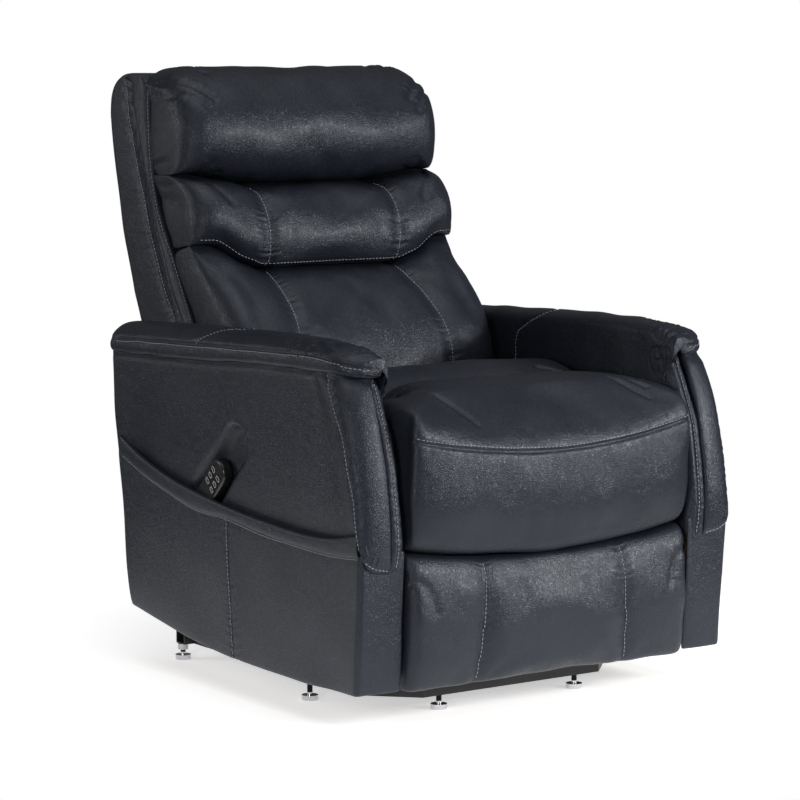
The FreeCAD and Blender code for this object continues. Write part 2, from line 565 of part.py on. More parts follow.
def back():
    shell = plate("back_shell", ("-BackHalf - 1", "BackHalf + 1"), FACING + [
        ("400", "1112"), ("460", "1112"), ("520", "1080"), ("525", "1032"), ("503", "926"), ("479", "810"),
        ("446", "715"), ("412", "630"), ("355", "520"), ("315", "450"), ("300", "400"), ("286", "402"),
        ("262", "480"), ("240", "540")])
    shell = hollowed(shell, "ShellInside", "2 * ShellInside", [
        ("286", "380"), ("301", "452"), ("341", "526"), ("398", "636"), ("431", "720"), ("464", "812"),
        ("488", "928"), ("509", "1032"), ("500", "1068"), ("455", "1094"), ("360", "1080"), ("355", "1020"),
        ("335", "882"), ("270", "770"), ("196", "646"), ("150", "560"), ("200", "460"), ("250", "380")])
    lumbar = plate("lumbar_cushion", ("-BackHalf + 4", "BackHalf - 4"), [
        ("60", "400"), ("48", "450"), ("42", "518"), ("40", "589"), ("48", "621"), ("68", "652"),
        ("100", "683"), ("149", "717"), ("188", "746"), ("284.5", "746"), ("226", "646"), ("185", "560"),
        ("150", "470"), ("150", "400")])
    middle = plate("middle_cushion", ("-BackHalf", "BackHalf"), [
        ("190", "748"), ("179", "790"), ("183", "826"), ("205", "868"), ("249", "903"), ("363", "903"),
        ("361", "882"), ("299", "770"), ("286", "748")])
    head = plate("head_pillow", ("-BackHalf", "BackHalf"), [
        ("290", "905"), ("258", "935"), ("238", "980"), ("240", "1020"), ("268", "1062"), ("315", "1100"),
        ("350", "1120"), ("402", "1122"), ("400", "1112"), ("376", "1090"), ("381", "1020"), ("364", "905")])
    side = plate("back_frame_side", ("-ShellInside", "-RailInside - 10"), [
        ("195", "450"), ("235", "450"), ("310", "640"), ("390", "800"), ("465", "1000"), ("470", "1060"),
        ("430", "1060"), ("425", "1000"), ("350", "800"), ("270", "640"), ("215", "540")])
    hole = bar("back_frame_hole", "x", "HingePin + PinPlay", ("-ShellInside - 1", "-RailInside - 9"),
               ("HingeY", "HingeZ"))
    side = cut("back_frame_side_cut", side, hole)
    inner = ("-RailInside - 10", "RailInside + 10")
    bars = [
        block("back_frame_foot_bar", inner, ("HingeY + 12", "HingeY + 32"), ("HingeZ + 12", "HingeZ + 34")),
        block("back_frame_middle_bar", inner, ("350", "370"), ("770", "800")),
        block("back_frame_top_bar", inner, ("436", "462"), ("1030", "1056")),
    ]
    lug = plate("back_lever_plate", ("-18", "-12"), [
        ("HingeY + 12", "HingeZ + 12"), ("HingeY + 32", "HingeZ + 12"), ("BackLeverY + 14", "BackLeverZ + 4"),
        ("BackLeverY + 8", "BackLeverZ - 13"), ("BackLeverY - 12", "BackLeverZ - 10")])
    pin = bar("back_lever_pin", "x", "MotorPin", ("-12", "12"), ("BackLeverY", "BackLeverZ"))
    lever = fused("back_lever", [bars[0], lug, mirrored("back_lever_plate_left", lug), pin])
    frame = group("back_frame", [side, mirrored("back_frame_side_left", side), lever] + bars[1:])
    return {"back_shell": shell, "lumbar_cushion": lumbar, "middle_cushion": middle, "head_pillow": head,
            "back_frame": frame}


# ---------------------------------------------------------------- footrest
def footrest():
    rear = flat_link("footrest_rear_link", ("-RearLinkPlane - RestLinkThick", "-RearLinkPlane"),
                     [("RestY", "RestZ"), ("KneeY", "KneeZ")], "RestRound", ["RestPin + PinPlay", "RestPin"])
    knee = bar("footrest_knee_pin", "x", "RestPin", ("-FrontLinkPlane - RestLinkThick - 1", "-RearLinkPlane"),
               ("KneeY", "KneeZ"))
    tie = bar("footrest_tie_bar", "x", "8", ("-RearLinkPlane", "RearLinkPlane"), ("RestY + 60", "RestZ - 30"))
    front = flat_link("footrest_front_link", ("-FrontLinkPlane - RestLinkThick", "-FrontLinkPlane"),
                      [("KneeY", "KneeZ"), ("BoardY", "BoardZ")], "RestRound", ["RestPin + PinPlay"] * 2)
    board = block("footrest_plywood", ("-BoardPlane", "BoardPlane"), ("FootBack", "FootBack + 12"),
                  ("80", "275"))
    bracket = plate("footrest_bracket", ("-FootHalf + 1", "-BoardPlane"), [
        ("FootBack", "BoardZ - 20"), ("BoardY + 12", "BoardZ - 10"), ("BoardY + 12", "BoardZ + 10"),
        ("FootBack", "BoardZ + 20")])
    pin = bar("footrest_board_pin", "x", "RestPin", ("-BoardPlane", "-FrontLinkPlane"), ("BoardY", "BoardZ"))
    pad = plate("footrest_pad", ("-FootHalf", "FootHalf"), [
        ("FootBack", "FootLow"), ("-490", "FootLow"), ("-503", "110"), ("-510", "180"), ("-506", "245"),
        ("-496", "FootTop"), ("FootBack", "FootTop")])
    return {
        "footrest_rear_links": group("footrest_rear_links", [
            rear, mirrored("footrest_rear_link_left", rear), knee,
            mirrored("footrest_knee_pin_left", knee), tie]),
        "footrest_front_links": both_sides("footrest_front_links", front),
        "footrest_board": fused("footrest_board", [
            board, bracket, mirrored("footrest_bracket_left", bracket), pin,
            mirrored("footrest_board_pin_left", pin)]),
        "footrest_pad": pad,
    }


# ---------------------------------------------------------------- handset
KEYS = ["back_up", "back_down", "legs_up", "legs_down", "lift_up", "lift_down"]


def handset():
    """The handset stands in the right pocket and leans out of it; its keys travel inwards."""
    slant = Rotation(Vector(1, 0, 0), size("HandsetTurn")) * Rotation(Vector(0, 1, 0), -size("HandsetLean"))
    frame = Placement(Vector(-size("HandsetX"), size("HandsetY"), size("HandsetZ")), slant)
    half = "HandsetThick / 2"
    case = padded("handset_case", (f"-{half}", half), lambda sketch: draw_slot(
        sketch, [("0", "HandsetLow"), ("0", "HandsetHigh")], "HandsetRound"))
    doc.recompute()
    reach = size(half)
    softened(case, 5, lambda edge: abs(abs(edge.CenterOfMass.x) - reach) < 0.01)
    parts = {}
    wells = []
    for index, key in enumerate(KEYS):
        across, level = 2 * (index % 2) - 1, index // 2
        centre = (f"{across} * 10.5", f"HandsetHigh - 2 - {level} * KeyPitch")
        near, far = f"{centre[0]} - KeyWide / 2", f"{centre[0]} + KeyWide / 2"
        low, high = f"{centre[1]} - KeyHigh / 2", f"{centre[1]} + KeyHigh / 2"
        wells.append([(near, low), (far, low), (far, high), (near, high)])
        cap = block(f"key_{key}_block", (f"-{half} - KeyProud", f"-{half} - KeyProud + 2.9"),
                    (f"{near} + KeyGap", f"{far} - KeyGap"), (f"{low} + KeyGap", f"{high} - KeyGap"))
        doc.recompute()
        for axis in "xyz":
            cap.setExpression(f"Placement.Base.{axis}", None)
        cap.Placement = frame.multiply(cap.Placement)
        parts["key_" + key] = cap
        cap.Label = "key_" + key
    for well in wells:
        hollowed(case, f"-{half}", "WellDeep", well, forwards=True)
    case.Placement = frame
    return {"handset_case": case, **parts}


# ---------------------------------------------------------------- build, check and write
nodes = {}
nodes.update(lift_base())
nodes.update(feet())
nodes.update(lift_links())
nodes.update(actuator("lift_motor", ("LiftMotorY", "LiftMotorZ"), ("LeverY", "LeverZ"), 95,
                      size("LiftEyePlay")))
nodes.update(carriage())
nodes.update(seat())
nodes.update(arms())
nodes["rear_panel"] = rear_panel()
nodes["control_box"] = control_box()
nodes.update(back())
nodes.update(actuator("back_motor", ("BackMotorY", "BackMotorZ"), ("BackLeverY", "BackLeverZ"), -45,
                      size("BackEyePlay")))
nodes.update(footrest())
nodes.update(handset())
doc.recompute()

for item in doc.Objects:
    if {"Invalid", "Error"} & set(item.State):
        raise ValueError(f"{item.Name} failed: {item.State}")
for name, item in nodes.items():
    if item.Shape.isNull() or not item.Shape.isValid() or not item.Shape.Solids:
        raise ValueError(f"{name} has no valid shape")
    item.Label = name
    item.Shape.exportStep(f"parts/{name}.step")
print(len(nodes), "parts")
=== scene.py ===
"""Lift recliner chair in dark leather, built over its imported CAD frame.

Lengths in the shape code are millimetres in the row frame; put() turns them into metres.
"""
import json
import math

import bmesh
import bpy
import numpy as np
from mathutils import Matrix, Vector
from mathutils.bvhtree import BVHTree


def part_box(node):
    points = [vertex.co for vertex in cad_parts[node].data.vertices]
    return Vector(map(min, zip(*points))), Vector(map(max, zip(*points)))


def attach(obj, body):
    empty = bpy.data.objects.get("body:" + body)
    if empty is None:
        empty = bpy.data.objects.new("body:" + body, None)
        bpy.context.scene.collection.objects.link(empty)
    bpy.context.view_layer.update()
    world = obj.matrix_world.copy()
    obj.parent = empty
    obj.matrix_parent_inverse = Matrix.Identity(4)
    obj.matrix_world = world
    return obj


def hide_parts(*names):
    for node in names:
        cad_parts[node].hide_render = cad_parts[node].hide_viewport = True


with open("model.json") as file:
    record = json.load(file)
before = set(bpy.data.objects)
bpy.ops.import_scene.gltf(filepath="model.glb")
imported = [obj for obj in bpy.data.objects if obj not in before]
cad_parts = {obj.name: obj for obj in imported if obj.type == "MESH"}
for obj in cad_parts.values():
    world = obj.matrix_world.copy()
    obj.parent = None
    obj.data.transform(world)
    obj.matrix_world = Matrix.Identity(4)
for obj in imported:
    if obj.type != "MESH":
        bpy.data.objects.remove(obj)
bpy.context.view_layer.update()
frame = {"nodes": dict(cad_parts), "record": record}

SIDES = (("left", 1), ("right", -1))


def millimetres(node):
    """Lowest and highest corner of a CAD node."""
    return [np.array(corner) * 1000 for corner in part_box(node)]


ARM_OUT = millimetres("left_pocket_front")[1][0]
ARM_IN = millimetres("left_arm_lining")[0][0]
SEAT_HALF = millimetres("seat_cushion")[1][0]
BACK_HALF = millimetres("back_shell")[1][0]
FOOT_HALF = millimetres("footrest_pad")[1][0]
# the handset's outline on the side, as (y, z): its top end, and the way down from there
HANDSET_TOP, HANDSET_WAY = (-51, 413), (0.737, -0.675)
# spacing of the points that seams and stitches are laid on, and of the points that seams are measured from
LAID_STEP, SEAM_STEP = 3, 2
# cloth: its frames, its stiffness, the passes that even the swelling out, and their share in the result
FRAMES, STIFFNESS, EVEN_PASSES, EVENED = 20, 15, 12, 0.85
# stitches: their spacing, length and half thickness, and the corners round one
PITCH, STITCH, THREAD, ROUND = 7.6, 5.4, 0.75, 6


# ---- curves and numbers
def smooth(points, count):
    """Evenly spaced points on a smooth curve through the given ones."""
    p = np.array(points, float)
    p = np.vstack([2 * p[0] - p[1], p, 2 * p[-1] - p[-2]])
    t = np.linspace(0, 1, 16, endpoint=False)[:, None]
    spans = []
    for a, b, c, d in zip(p, p[1:], p[2:], p[3:]):
        bend, twist = 2 * a - 5 * b + 4 * c - d, 3 * b - a - 3 * c + d
        spans.append(0.5 * (2 * b + (c - a) * t + bend * t ** 2 + twist * t ** 3))
    return resampled(np.vstack(spans + [p[-2:-1]]), count)


def resampled(line, count):
    """That many evenly spaced points along a line."""
    along = np.r_[0, np.cumsum(np.linalg.norm(np.diff(line, axis=0), axis=1))]
    at = np.linspace(0, along[-1], count)
    return np.column_stack([np.interp(at, along, column) for column in line.T])


def spaced(line, step):
    """The line's points, moved to an even spacing of about step."""
    line = np.asarray(line, float)
    length = np.cumsum(np.linalg.norm(np.diff(line, axis=0), axis=1))[-1]
    return resampled(line, max(2, int(round(length / step)) + 1))


def follow(pairs):
    """A function that reads a smooth curve of (place, value) pairs at any place."""
    dense = smooth(sorted(pairs), 200)
    return lambda place: np.interp(place, dense[:, 0], dense[:, 1])


def ease(value, start, end):
    """0 before start, 1 after end, and a smooth rise between them."""
    t = np.clip((np.asarray(value, float) - start) / (end - start), 0, 1)
    return t * t * (3 - 2 * t)


def ripple(points, length, seed, waves=14):
    """Seeded smooth noise from about -1 to 1, with bumps of about that length."""
    draw = np.random.default_rng(seed)
    total = np.zeros(len(points))
    for _ in range(waves):
        way = draw.normal(size=points.shape[1])
        way *= 2 * math.pi / length / np.linalg.norm(way) * draw.uniform(0.6, 1.5)
        total += np.sin(points @ way + draw.uniform(0, 2 * math.pi))
    return total / math.sqrt(waves / 2) / 1.6


def nearest(line, points):
    """For each point, its distance to a line of close points and that place's number on it."""
    gap, where = np.empty(len(points)), np.empty(len(points), int)
    for start in range(0, len(points), 3000):
        span = slice(start, start + 3000)
        apart = ((points[span, None] - line[None]) ** 2).sum(2)
        where[span] = apart.argmin(1)
        gap[span] = np.sqrt(apart.min(1))
    return gap, where


# ---- meshes
def sheet_faces(rows, columns, offset=0):
    index = np.arange(rows * columns).reshape(rows, columns) + offset
    return np.stack([index[:-1, :-1], index[:-1, 1:], index[1:, 1:], index[1:, :-1]], -1).reshape(-1, 4)


def closed(front, back):
    """Points and faces of a solid between two sheets of the same rows and columns; meeting points are one."""
    rows, columns = front.shape[:2]
    count = rows * columns
    points = np.vstack([front.reshape(-1, 3), back.reshape(-1, 3)])
    index = np.arange(count).reshape(rows, columns)
    rim = np.concatenate([index[0], index[1:, -1], index[-1, -2::-1], index[-2:0:-1, 0]])
    after = np.roll(rim, -1)
    walls = np.stack([after, rim, rim + count, after + count], 1)
    faces = np.vstack([sheet_faces(rows, columns), sheet_faces(rows, columns, count)[:, ::-1], walls])
    _, first, same = np.unique(np.round(points, 2), axis=0, return_index=True, return_inverse=True)
    faces = same.reshape(-1)[faces]
    tidy = []
    for face in faces.tolist():
        corners = [corner for number, corner in enumerate(face) if corner != face[number - 1]]
        if len(set(corners)) == len(corners) and len(corners) > 2:
            tidy.append(corners)
    return points[first], tidy, first < count


def put(name, points, faces, body, material, stands_for=()):
    """A smooth-shaded piece on a body, from points in millimetres."""
    mesh = bpy.data.meshes.new(name)
    mesh.from_pydata((points / 1000).tolist(), [], faces)
    mesh.validate()
    mesh.shade_smooth()
    mesh.materials.append(material)
    piece = bpy.data.objects.new(name, mesh)
    bpy.context.scene.collection.objects.link(piece)
    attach(piece, body)
    if stands_for:
        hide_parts(*stands_for)
    return piece


def outward(piece):
    """Turns every face of a closed piece outwards."""
    work = bmesh.new()
    work.from_mesh(piece.data)
    bmesh.ops.recalc_face_normals(work, faces=work.faces)
    if work.calc_volume(signed=True) < 0:
        bmesh.ops.reverse_faces(work, faces=work.faces)
    work.to_mesh(piece.data)
    work.free()


def read(piece):
    """A piece's points in millimetres, and its point normals."""
    count = len(piece.data.vertices) * 3
    points, normals = np.empty(count), np.empty(count)
    piece.data.vertices.foreach_get("co", points)
    piece.data.vertices.foreach_get("normal", normals)
    return points.reshape(-1, 3) * 1000, normals.reshape(-1, 3)


def write(piece, points):
    piece.data.vertices.foreach_set("co", (points / 1000).astype(np.float32).ravel())
    piece.data.update()


def applied(piece):
    """Keeps what the piece's modifiers make of its mesh, and drops the modifiers."""
    graph = bpy.context.evaluated_depsgraph_get()
    made = bpy.data.meshes.new_from_object(piece.evaluated_get(graph))
    piece.modifiers.clear()
    piece.data = made


def subdivided(piece):
    modifier = piece.modifiers.new("subdivision", "SUBSURF")
    modifier.levels = modifier.render_levels = 1
    applied(piece)
    piece.data.shade_smooth()


# ---- cloth, seams and stitches
def inflate(piece, hold, pressure, growth, cap):
    """Lets the cover swell as cloth under pressure; hold is from 0, free, to 1, held, for each point."""
    rest, _ = read(piece)
    group = piece.vertex_groups.new(name="hold")
    for level in np.unique(np.round(hold, 1)):
        members = np.flatnonzero(np.round(hold, 1) == level).tolist()
        group.add(members, float(level), "REPLACE")
    cloth = piece.modifiers.new("cloth", "CLOTH")
    settings = cloth.settings
    settings.quality, settings.mass, settings.vertex_group_mass = 4, 0.3, "hold"
    settings.tension_stiffness = settings.compression_stiffness = STIFFNESS
    settings.shear_stiffness, settings.bending_stiffness = 5, 3
    settings.use_pressure = True
    settings.uniform_pressure_force = pressure
    settings.shrink_min = -growth
    settings.effector_weights.gravity = 0
    cloth.collision_settings.use_collision = False
    cloth.point_cache.frame_start, cloth.point_cache.frame_end = 1, FRAMES
    for number in range(1, FRAMES + 1):
        bpy.context.scene.frame_set(number)
    applied(piece)
    bpy.context.scene.frame_set(1)
    move = read(piece)[0] - rest
    move *= np.minimum(1, cap / np.maximum(np.linalg.norm(move, axis=1, keepdims=True), 1e-9))
    # filled leather lies smoother than thin cloth, so most of the fine wrinkles are evened out
    pairs = np.empty(len(piece.data.edges) * 2, int)
    piece.data.edges.foreach_get("vertices", pairs)
    first, second = pairs.reshape(-1, 2).T
    count = np.bincount(pairs, minlength=len(move))[:, None]
    fine = move
    for _ in range(EVEN_PASSES):
        total = np.zeros_like(move)
        np.add.at(total, first, move[second])
        np.add.at(total, second, move[first])
        move = move * 0.4 + total / np.maximum(count, 1) * 0.6
    write(piece, rest + move * EVENED + fine * (1 - EVENED))


def carve(piece, lines, depth, width, pucker=0.0, reach=26, seed=0):
    """Pulls the cover in along each line, and gathers it into small folds across the line."""
    points, normals = read(piece)
    moved = points.copy()
    for number, line in enumerate(lines):
        dense = spaced(line, SEAM_STEP)
        low, high = dense.min(0) - 3 * reach, dense.max(0) + 3 * reach
        near = np.flatnonzero(((points > low) & (points < high)).all(1))
        if not len(near):
            continue
        gap, where = nearest(dense, points[near])
        pull = depth * np.exp(-(gap / width) ** 2)
        if pucker:
            along = (where * float(SEAM_STEP))[:, None] + gap[:, None] * 0.25
            folds = ripple(along, 17, seed + number) + 0.6 * ripple(along, 9, seed + 50 + number)
            pull += pucker * folds * np.exp(-(gap / reach) ** 2) * (1 - np.exp(-(gap / 5) ** 2))
        moved[near] -= normals[near] * pull[:, None]
    write(piece, moved)


def soften(piece, height, length, seed):
    """Gives a cover the low, uneven swell of real upholstery."""
    points, normals = read(piece)
    write(piece, points + normals * (height * ripple(points, length, seed))[:, None])


def tree_of(*pieces):
    """One searchable surface, in millimetres."""
    points, faces = [], []
    for piece in pieces:
        base = len(points)
        points += [vertex.co * 1000 for vertex in piece.data.vertices]
        faces += [[base + corner for corner in face.vertices] for face in piece.data.polygons]
    return BVHTree.FromPolygons(points, faces)


def cast(tree, line, direction):
    """The line's points moved onto the surface along a direction."""
    way, landed = Vector(direction), []
    for point in spaced(line, LAID_STEP):
        hit = tree.ray_cast(Vector(point) - way * 2000, way)
        if hit[0] is not None:
            landed.append(hit[0])
    return np.array(landed)


def drawn(tree, line):
    """The line's points moved to the nearest places of the surface."""
    return np.array([tree.find_nearest(Vector(point))[0] for point in spaced(line, LAID_STEP)])


def turned(line, sign):
    """Points on the left side, which sign -1 turns over to the right."""
    return np.asarray(line, float) * (sign, 1, 1)


def on_both(place, tree, line, count, *way):
    """A smooth line on the right side and on the left, laid on the surface by cast or drawn."""
    return [place(tree, smooth(turned(line, sign), count), *way) for sign in (-1, 1)]


def bows(pairs, way):
    """Slightly bent lines between pairs of points, on the right and on the left; way moves their middles."""
    lines = []
    for sign in (-1, 1):
        for pair in pairs:
            start, end = turned(pair, sign)
            lines.append(smooth([start, (start + end) / 2 + way, end], 30))
    return lines


def level(start, end, count, y, height):
    """A line across the chair; height gives its height at each place."""
    x = np.linspace(start, end, count)
    return np.column_stack(np.broadcast_arrays(x, y, height(x)))


def ring_faces(levels, sides, base=0, loop=False):
    """Faces between rings of points; in a loop the last ring meets the first."""
    faces = []
    for number in range(levels if loop else levels - 1):
        start, after = base + number * sides, base + (number + 1) % levels * sides
        for corner in range(sides):
            step = (corner + 1) % sides
            faces.append([start + corner, start + step, after + step, after + corner])
    return faces


def stitches(name, body, tree, lines, *offsets):
    """Real sewn stitches beside each line: short capsules that lie on the surface."""
    ring = np.linspace(0, 2 * math.pi, ROUND, endpoint=False)
    shape = [(-1, 0.15), (-0.86, 0.75), (-0.4, 1), (0.4, 1), (0.86, 0.75), (1, 0.15)]
    points, faces = [], []
    for line in lines:
        places = spaced(line, PITCH)
        for start, end in zip(places, places[1:]):
            middle, ahead = Vector((start + end) / 2), Vector(end - start)
            if ahead.length < 1:
                continue
            ahead.normalize()
            up = tree.find_nearest(middle)[1]
            if up is None:
                continue
            aside = up.cross(ahead).normalized()
            for offset in offsets:
                spot, out, _, gap = tree.find_nearest(middle + aside * offset)
                if gap > 9:
                    continue
                along = (ahead - out * ahead.dot(out)).normalized()
                across = out.cross(along)
                base = len(points)
                for place, share in shape:
                    centre = spot + along * (place * STITCH / 2) + out * (THREAD * (0.55 - 0.5 * place ** 4))
                    for angle in ring:
                        spoke = across * math.cos(angle) + out * math.sin(angle)
                        points.append(centre + spoke * THREAD * share)
                faces += ring_faces(len(shape), ROUND, base)
                faces.append([base + corner for corner in range(ROUND)][::-1])
                faces.append([base + (len(shape) - 1) * ROUND + corner for corner in range(ROUND)])
    put(name + "_stitches", np.array(points), faces, body, THREAD_LOOK)


# ---- materials
def new_material(name):
    material = bpy.data.materials.new(name)
    material.use_nodes = True
    tree = material.node_tree
    return material, tree, tree.nodes["Principled BSDF"]


def node(tree, kind, **values):
    made = tree.nodes.new(kind)
    for key, value in values.items():
        if key in made.inputs:
            made.inputs[key].default_value = value
        else:
            setattr(made, key, value)
    return made


def settle(made, values):
    """Sets a node's own sockets, by name or number."""
    for key, value in values.items():
        made.inputs[key].default_value = value


def in_metres(tree, made, socket="Vector"):
    """Gives a node the piece's own metres."""
    tree.links.new(node(tree, "ShaderNodeTexCoord").outputs["Object"], made.inputs[socket])
    return made


def noise(tree, scale, detail=4.0, roughness=0.55):
    made = node(tree, "ShaderNodeTexNoise", Scale=scale, Detail=detail, Roughness=roughness)
    return in_metres(tree, made)


def ramp(tree, source, low, high, start=0.3, end=0.7):
    """Turns a texture's value into a range of numbers."""
    made = node(tree, "ShaderNodeMapRange", clamp=True)
    settle(made, {"From Min": start, "From Max": end, "To Min": low, "To Max": high})
    tree.links.new(source, made.inputs["Value"])
    return made.outputs["Result"]


def blended(tree, texture, first, second):
    """A colour between two, by a texture's value."""
    made = node(tree, "ShaderNodeMix", data_type="RGBA")
    settle(made, {6: (*first, 1), 7: (*second, 1)})
    tree.links.new(ramp(tree, texture.outputs["Fac"], 0, 1), made.inputs[0])
    return made.outputs[2]


def bump(tree, height, strength, distance, before=None):
    made = node(tree, "ShaderNodeBump", Strength=strength, Distance=distance)
    tree.links.new(height, made.inputs["Height"])
    if before:
        tree.links.new(before, made.inputs["Normal"])
    return made.outputs["Normal"]


def dress(tree, colour, rough=None, relief=None):
    """Links what the shader takes from textures."""
    surface = tree.nodes["Principled BSDF"]
    for name, source in (("Base Color", colour), ("Roughness", rough), ("Normal", relief)):
        if source is not None:
            tree.links.new(source, surface.inputs[name])


def leather_look(name, dark, light):
    """Grained, finished leather: pebbles of about two millimetres, pores, and soft cloudy colour."""
    gloss, pebble_strength = 0.39, 0.42
    material, tree, surface = new_material(name)
    shifted = in_metres(tree, node(tree, "ShaderNodeMix", data_type="VECTOR"), 4)
    shifted.inputs[0].default_value = 0.012
    tree.links.new(noise(tree, 55, 3).outputs["Color"], shifted.inputs[5])
    pebble = node(tree, "ShaderNodeTexVoronoi", feature="DISTANCE_TO_EDGE", Scale=340)
    tree.links.new(shifted.outputs[1], pebble.inputs["Vector"])
    cells = ramp(tree, pebble.outputs["Distance"], 0, 1, 0.0, 0.32)
    pores = bump(tree, noise(tree, 1500, 3, 0.7).outputs["Fac"], 0.3, 0.0002)
    rough = ramp(tree, noise(tree, 160, 4, 0.65).outputs["Fac"], gloss - 0.07, gloss + 0.09)
    dress(tree, blended(tree, noise(tree, 9, 5, 0.6), dark, light), rough,
          bump(tree, cells, pebble_strength, 0.0007, pores))
    settle(surface, {"Specular IOR Level": 0.34, "Specular Tint": (0.86, 0.92, 1, 1), "Coat Weight": 0.05,
                     "Coat Roughness": 0.3})
    return material


def metal_look(name, colour, rough, metallic=1.0, texture=300.0, depth=0.00005, spread=0.08):
    """Metal or moulded surface with a fine texture of its own and uneven gloss."""
    material, tree, surface = new_material(name)
    grain = noise(tree, texture, 5, 0.6)
    smear = noise(tree, 22, 4, 0.6)
    lighter = tuple(min(1, part * 1.35 + 0.004) for part in colour)
    dress(tree, blended(tree, smear, colour, lighter),
          ramp(tree, smear.outputs["Fac"], rough - spread, rough + spread),
          bump(tree, grain.outputs["Fac"], 0.4, depth))
    surface.inputs["Metallic"].default_value = metallic
    return material


def foot_look(name):
    """A levelling foot: a plated pad under a black stem."""
    material = metal_look(name, (0.55, 0.55, 0.57), 0.2, 1.0, 200, 0.00003)
    tree = material.node_tree
    parts = in_metres(tree, node(tree, "ShaderNodeSeparateXYZ"), 0)
    plated = tree.nodes["Principled BSDF"].inputs["Base Color"].links[0].from_socket
    colour = node(tree, "ShaderNodeMix", data_type="RGBA")
    colour.inputs[7].default_value = (0.012, 0.012, 0.013, 1)
    tree.links.new(ramp(tree, parts.outputs["Z"], 0, 1, 0.0135, 0.0145), colour.inputs[0])
    tree.links.new(plated, colour.inputs[6])
    dress(tree, colour.outputs[2])
    return material


def wood_look(name):
    """Pale sawn wood: growth rings drawn out along the board."""
    material, tree, _ = new_material(name)
    drawn_out = in_metres(tree, node(tree, "ShaderNodeMapping", Scale=(60, 6, 60)))
    rings = node(tree, "ShaderNodeTexNoise", Scale=1.5, Detail=6, Roughness=0.6, Distortion=0.8)
    tree.links.new(drawn_out.outputs["Vector"], rings.inputs["Vector"])
    dress(tree, blended(tree, rings, (0.30, 0.17, 0.08), (0.52, 0.35, 0.19)),
          ramp(tree, rings.outputs["Fac"], 0.55, 0.75), bump(tree, rings.outputs["Fac"], 0.3, 0.0003))
    return material


def thread_look(name):
    """Twisted sewing thread."""
    material, tree, surface = new_material(name)
    strands = noise(tree, 900, 2)
    dress(tree, blended(tree, strands, (0.17, 0.182, 0.21), (0.31, 0.33, 0.37)),
          relief=bump(tree, strands.outputs["Fac"], 0.5, 0.0003))
    surface.inputs["Roughness"].default_value = 0.6
    return material


LEATHER = leather_look("leather", (0.0080, 0.0097, 0.0150), (0.0120, 0.0143, 0.0212))
THREAD_LOOK = thread_look("thread")
METALS = {"black_steel": ((0.006, 0.006, 0.007), 0.5, 0.0, 700, 0.0001),
          "plated_steel": ((0.42, 0.42, 0.43), 0.3, 1.0, 240),
          "motor_plastic": ((0.02, 0.02, 0.022), 0.5, 0.0, 900, 0.0002),
          "spring_steel": ((0.30, 0.29, 0.28), 0.38, 1.0, 400),
          "handset_plastic": ((0.004, 0.004, 0.0045), 0.3, 0.0, 1200, 0.0001, 0.05),
          "key_rubber": ((0.006, 0.006, 0.007), 0.5, 0.0, 1500, 0.0002)}
LOOKS = {name: metal_look(name, *values) for name, values in METALS.items()}
LOOKS.update(leather=LEATHER, foot_metal=foot_look("foot_metal"), wood=wood_look("wood"))
for item in frame["record"]["subparts"]:
    data = frame["nodes"][item["node"]].data
    data.materials.clear()
    data.materials.append(LOOKS[item["material_slot"]])


# ---- cushions
def ends(half, radius, step, power=3.4, steps=9):
    """Columns across a cushion: their places, and shares of the fullness, which falls off at the ends."""
    angle = np.linspace(0, math.pi / 2, steps)
    inset = radius * (1 - np.cos(angle) ** (2 / power))
    share = np.sin(angle) ** (2 / power)
    middle = np.linspace(-half + radius, half - radius, max(3, int(round(2 * (half - radius) / step))) + 1)
    across = np.r_[-half + inset, middle[1:-1], (half - inset)[::-1]]
    return across, np.r_[share, np.ones(len(middle) - 2), share[::-1]]


def cover(name, front, back, body, stands_for=()):
    """A closed piece of leather between two sheets, and which of its points are the front sheet's."""
    points, faces, is_front = closed(front, back)
    piece = put(name + "_leather", points, faces, body, LEATHER, stands_for)
    outward(piece)
    return piece, is_front


def cushion(name, front, rear, half, radius, body, stands_for, rows, spine, bend=None, power=3.4, step=8):
    """A closed cover whose front and rear sheets run from the same bottom edge to the same top edge.

    Its ends close on a spine between the two sheets; bend(points, along) may move each point.
    """
    front, rear = smooth(front, rows), smooth(rear, rows)
    across, share = ends(half, radius, step, power)
    core = front * (1 - spine) + rear * spine
    sheets = []
    for face, full in ((front, share), (rear, share ** 0.12)):
        grid = np.empty((rows, len(across), 3))
        grid[..., 0] = across[None]
        grid[..., 1:] = core[:, None] + (face - core)[:, None] * full[None, :, None]
        if bend is not None:
            along = np.broadcast_to(np.linspace(0, 1, rows)[:, None], grid.shape[:2])
            bend(grid, along)
        sheets.append(grid)
    piece, is_front = cover(name, *sheets, body, stands_for)
    return piece, is_front


def held(piece, is_front, lines, side, low=0, high=2000, width=9.0):
    """How firmly each point is held: the rear sheet, what lies past side, low or high, and the seams."""
    points, _ = read(piece)
    rim = (np.abs(points[:, 0]) > side) | (points[:, 2] < low) | (points[:, 2] > high)
    hold = np.where(is_front & ~rim, 0.0, 1.0)
    for line in lines:
        gap, _ = nearest(spaced(line, 4), points)
        hold = np.maximum(hold, np.exp(-(gap / width) ** 2))
    return hold


# how much the middle band's lower seam and its upper crease rise towards the sides
def seam_rise(x):
    return 12 * ease(np.abs(x), 150, 195) + 36 * ease(np.abs(x), 185, 262)


def crease_rise(x):
    return 20 * ease(np.abs(x), 110, 280)


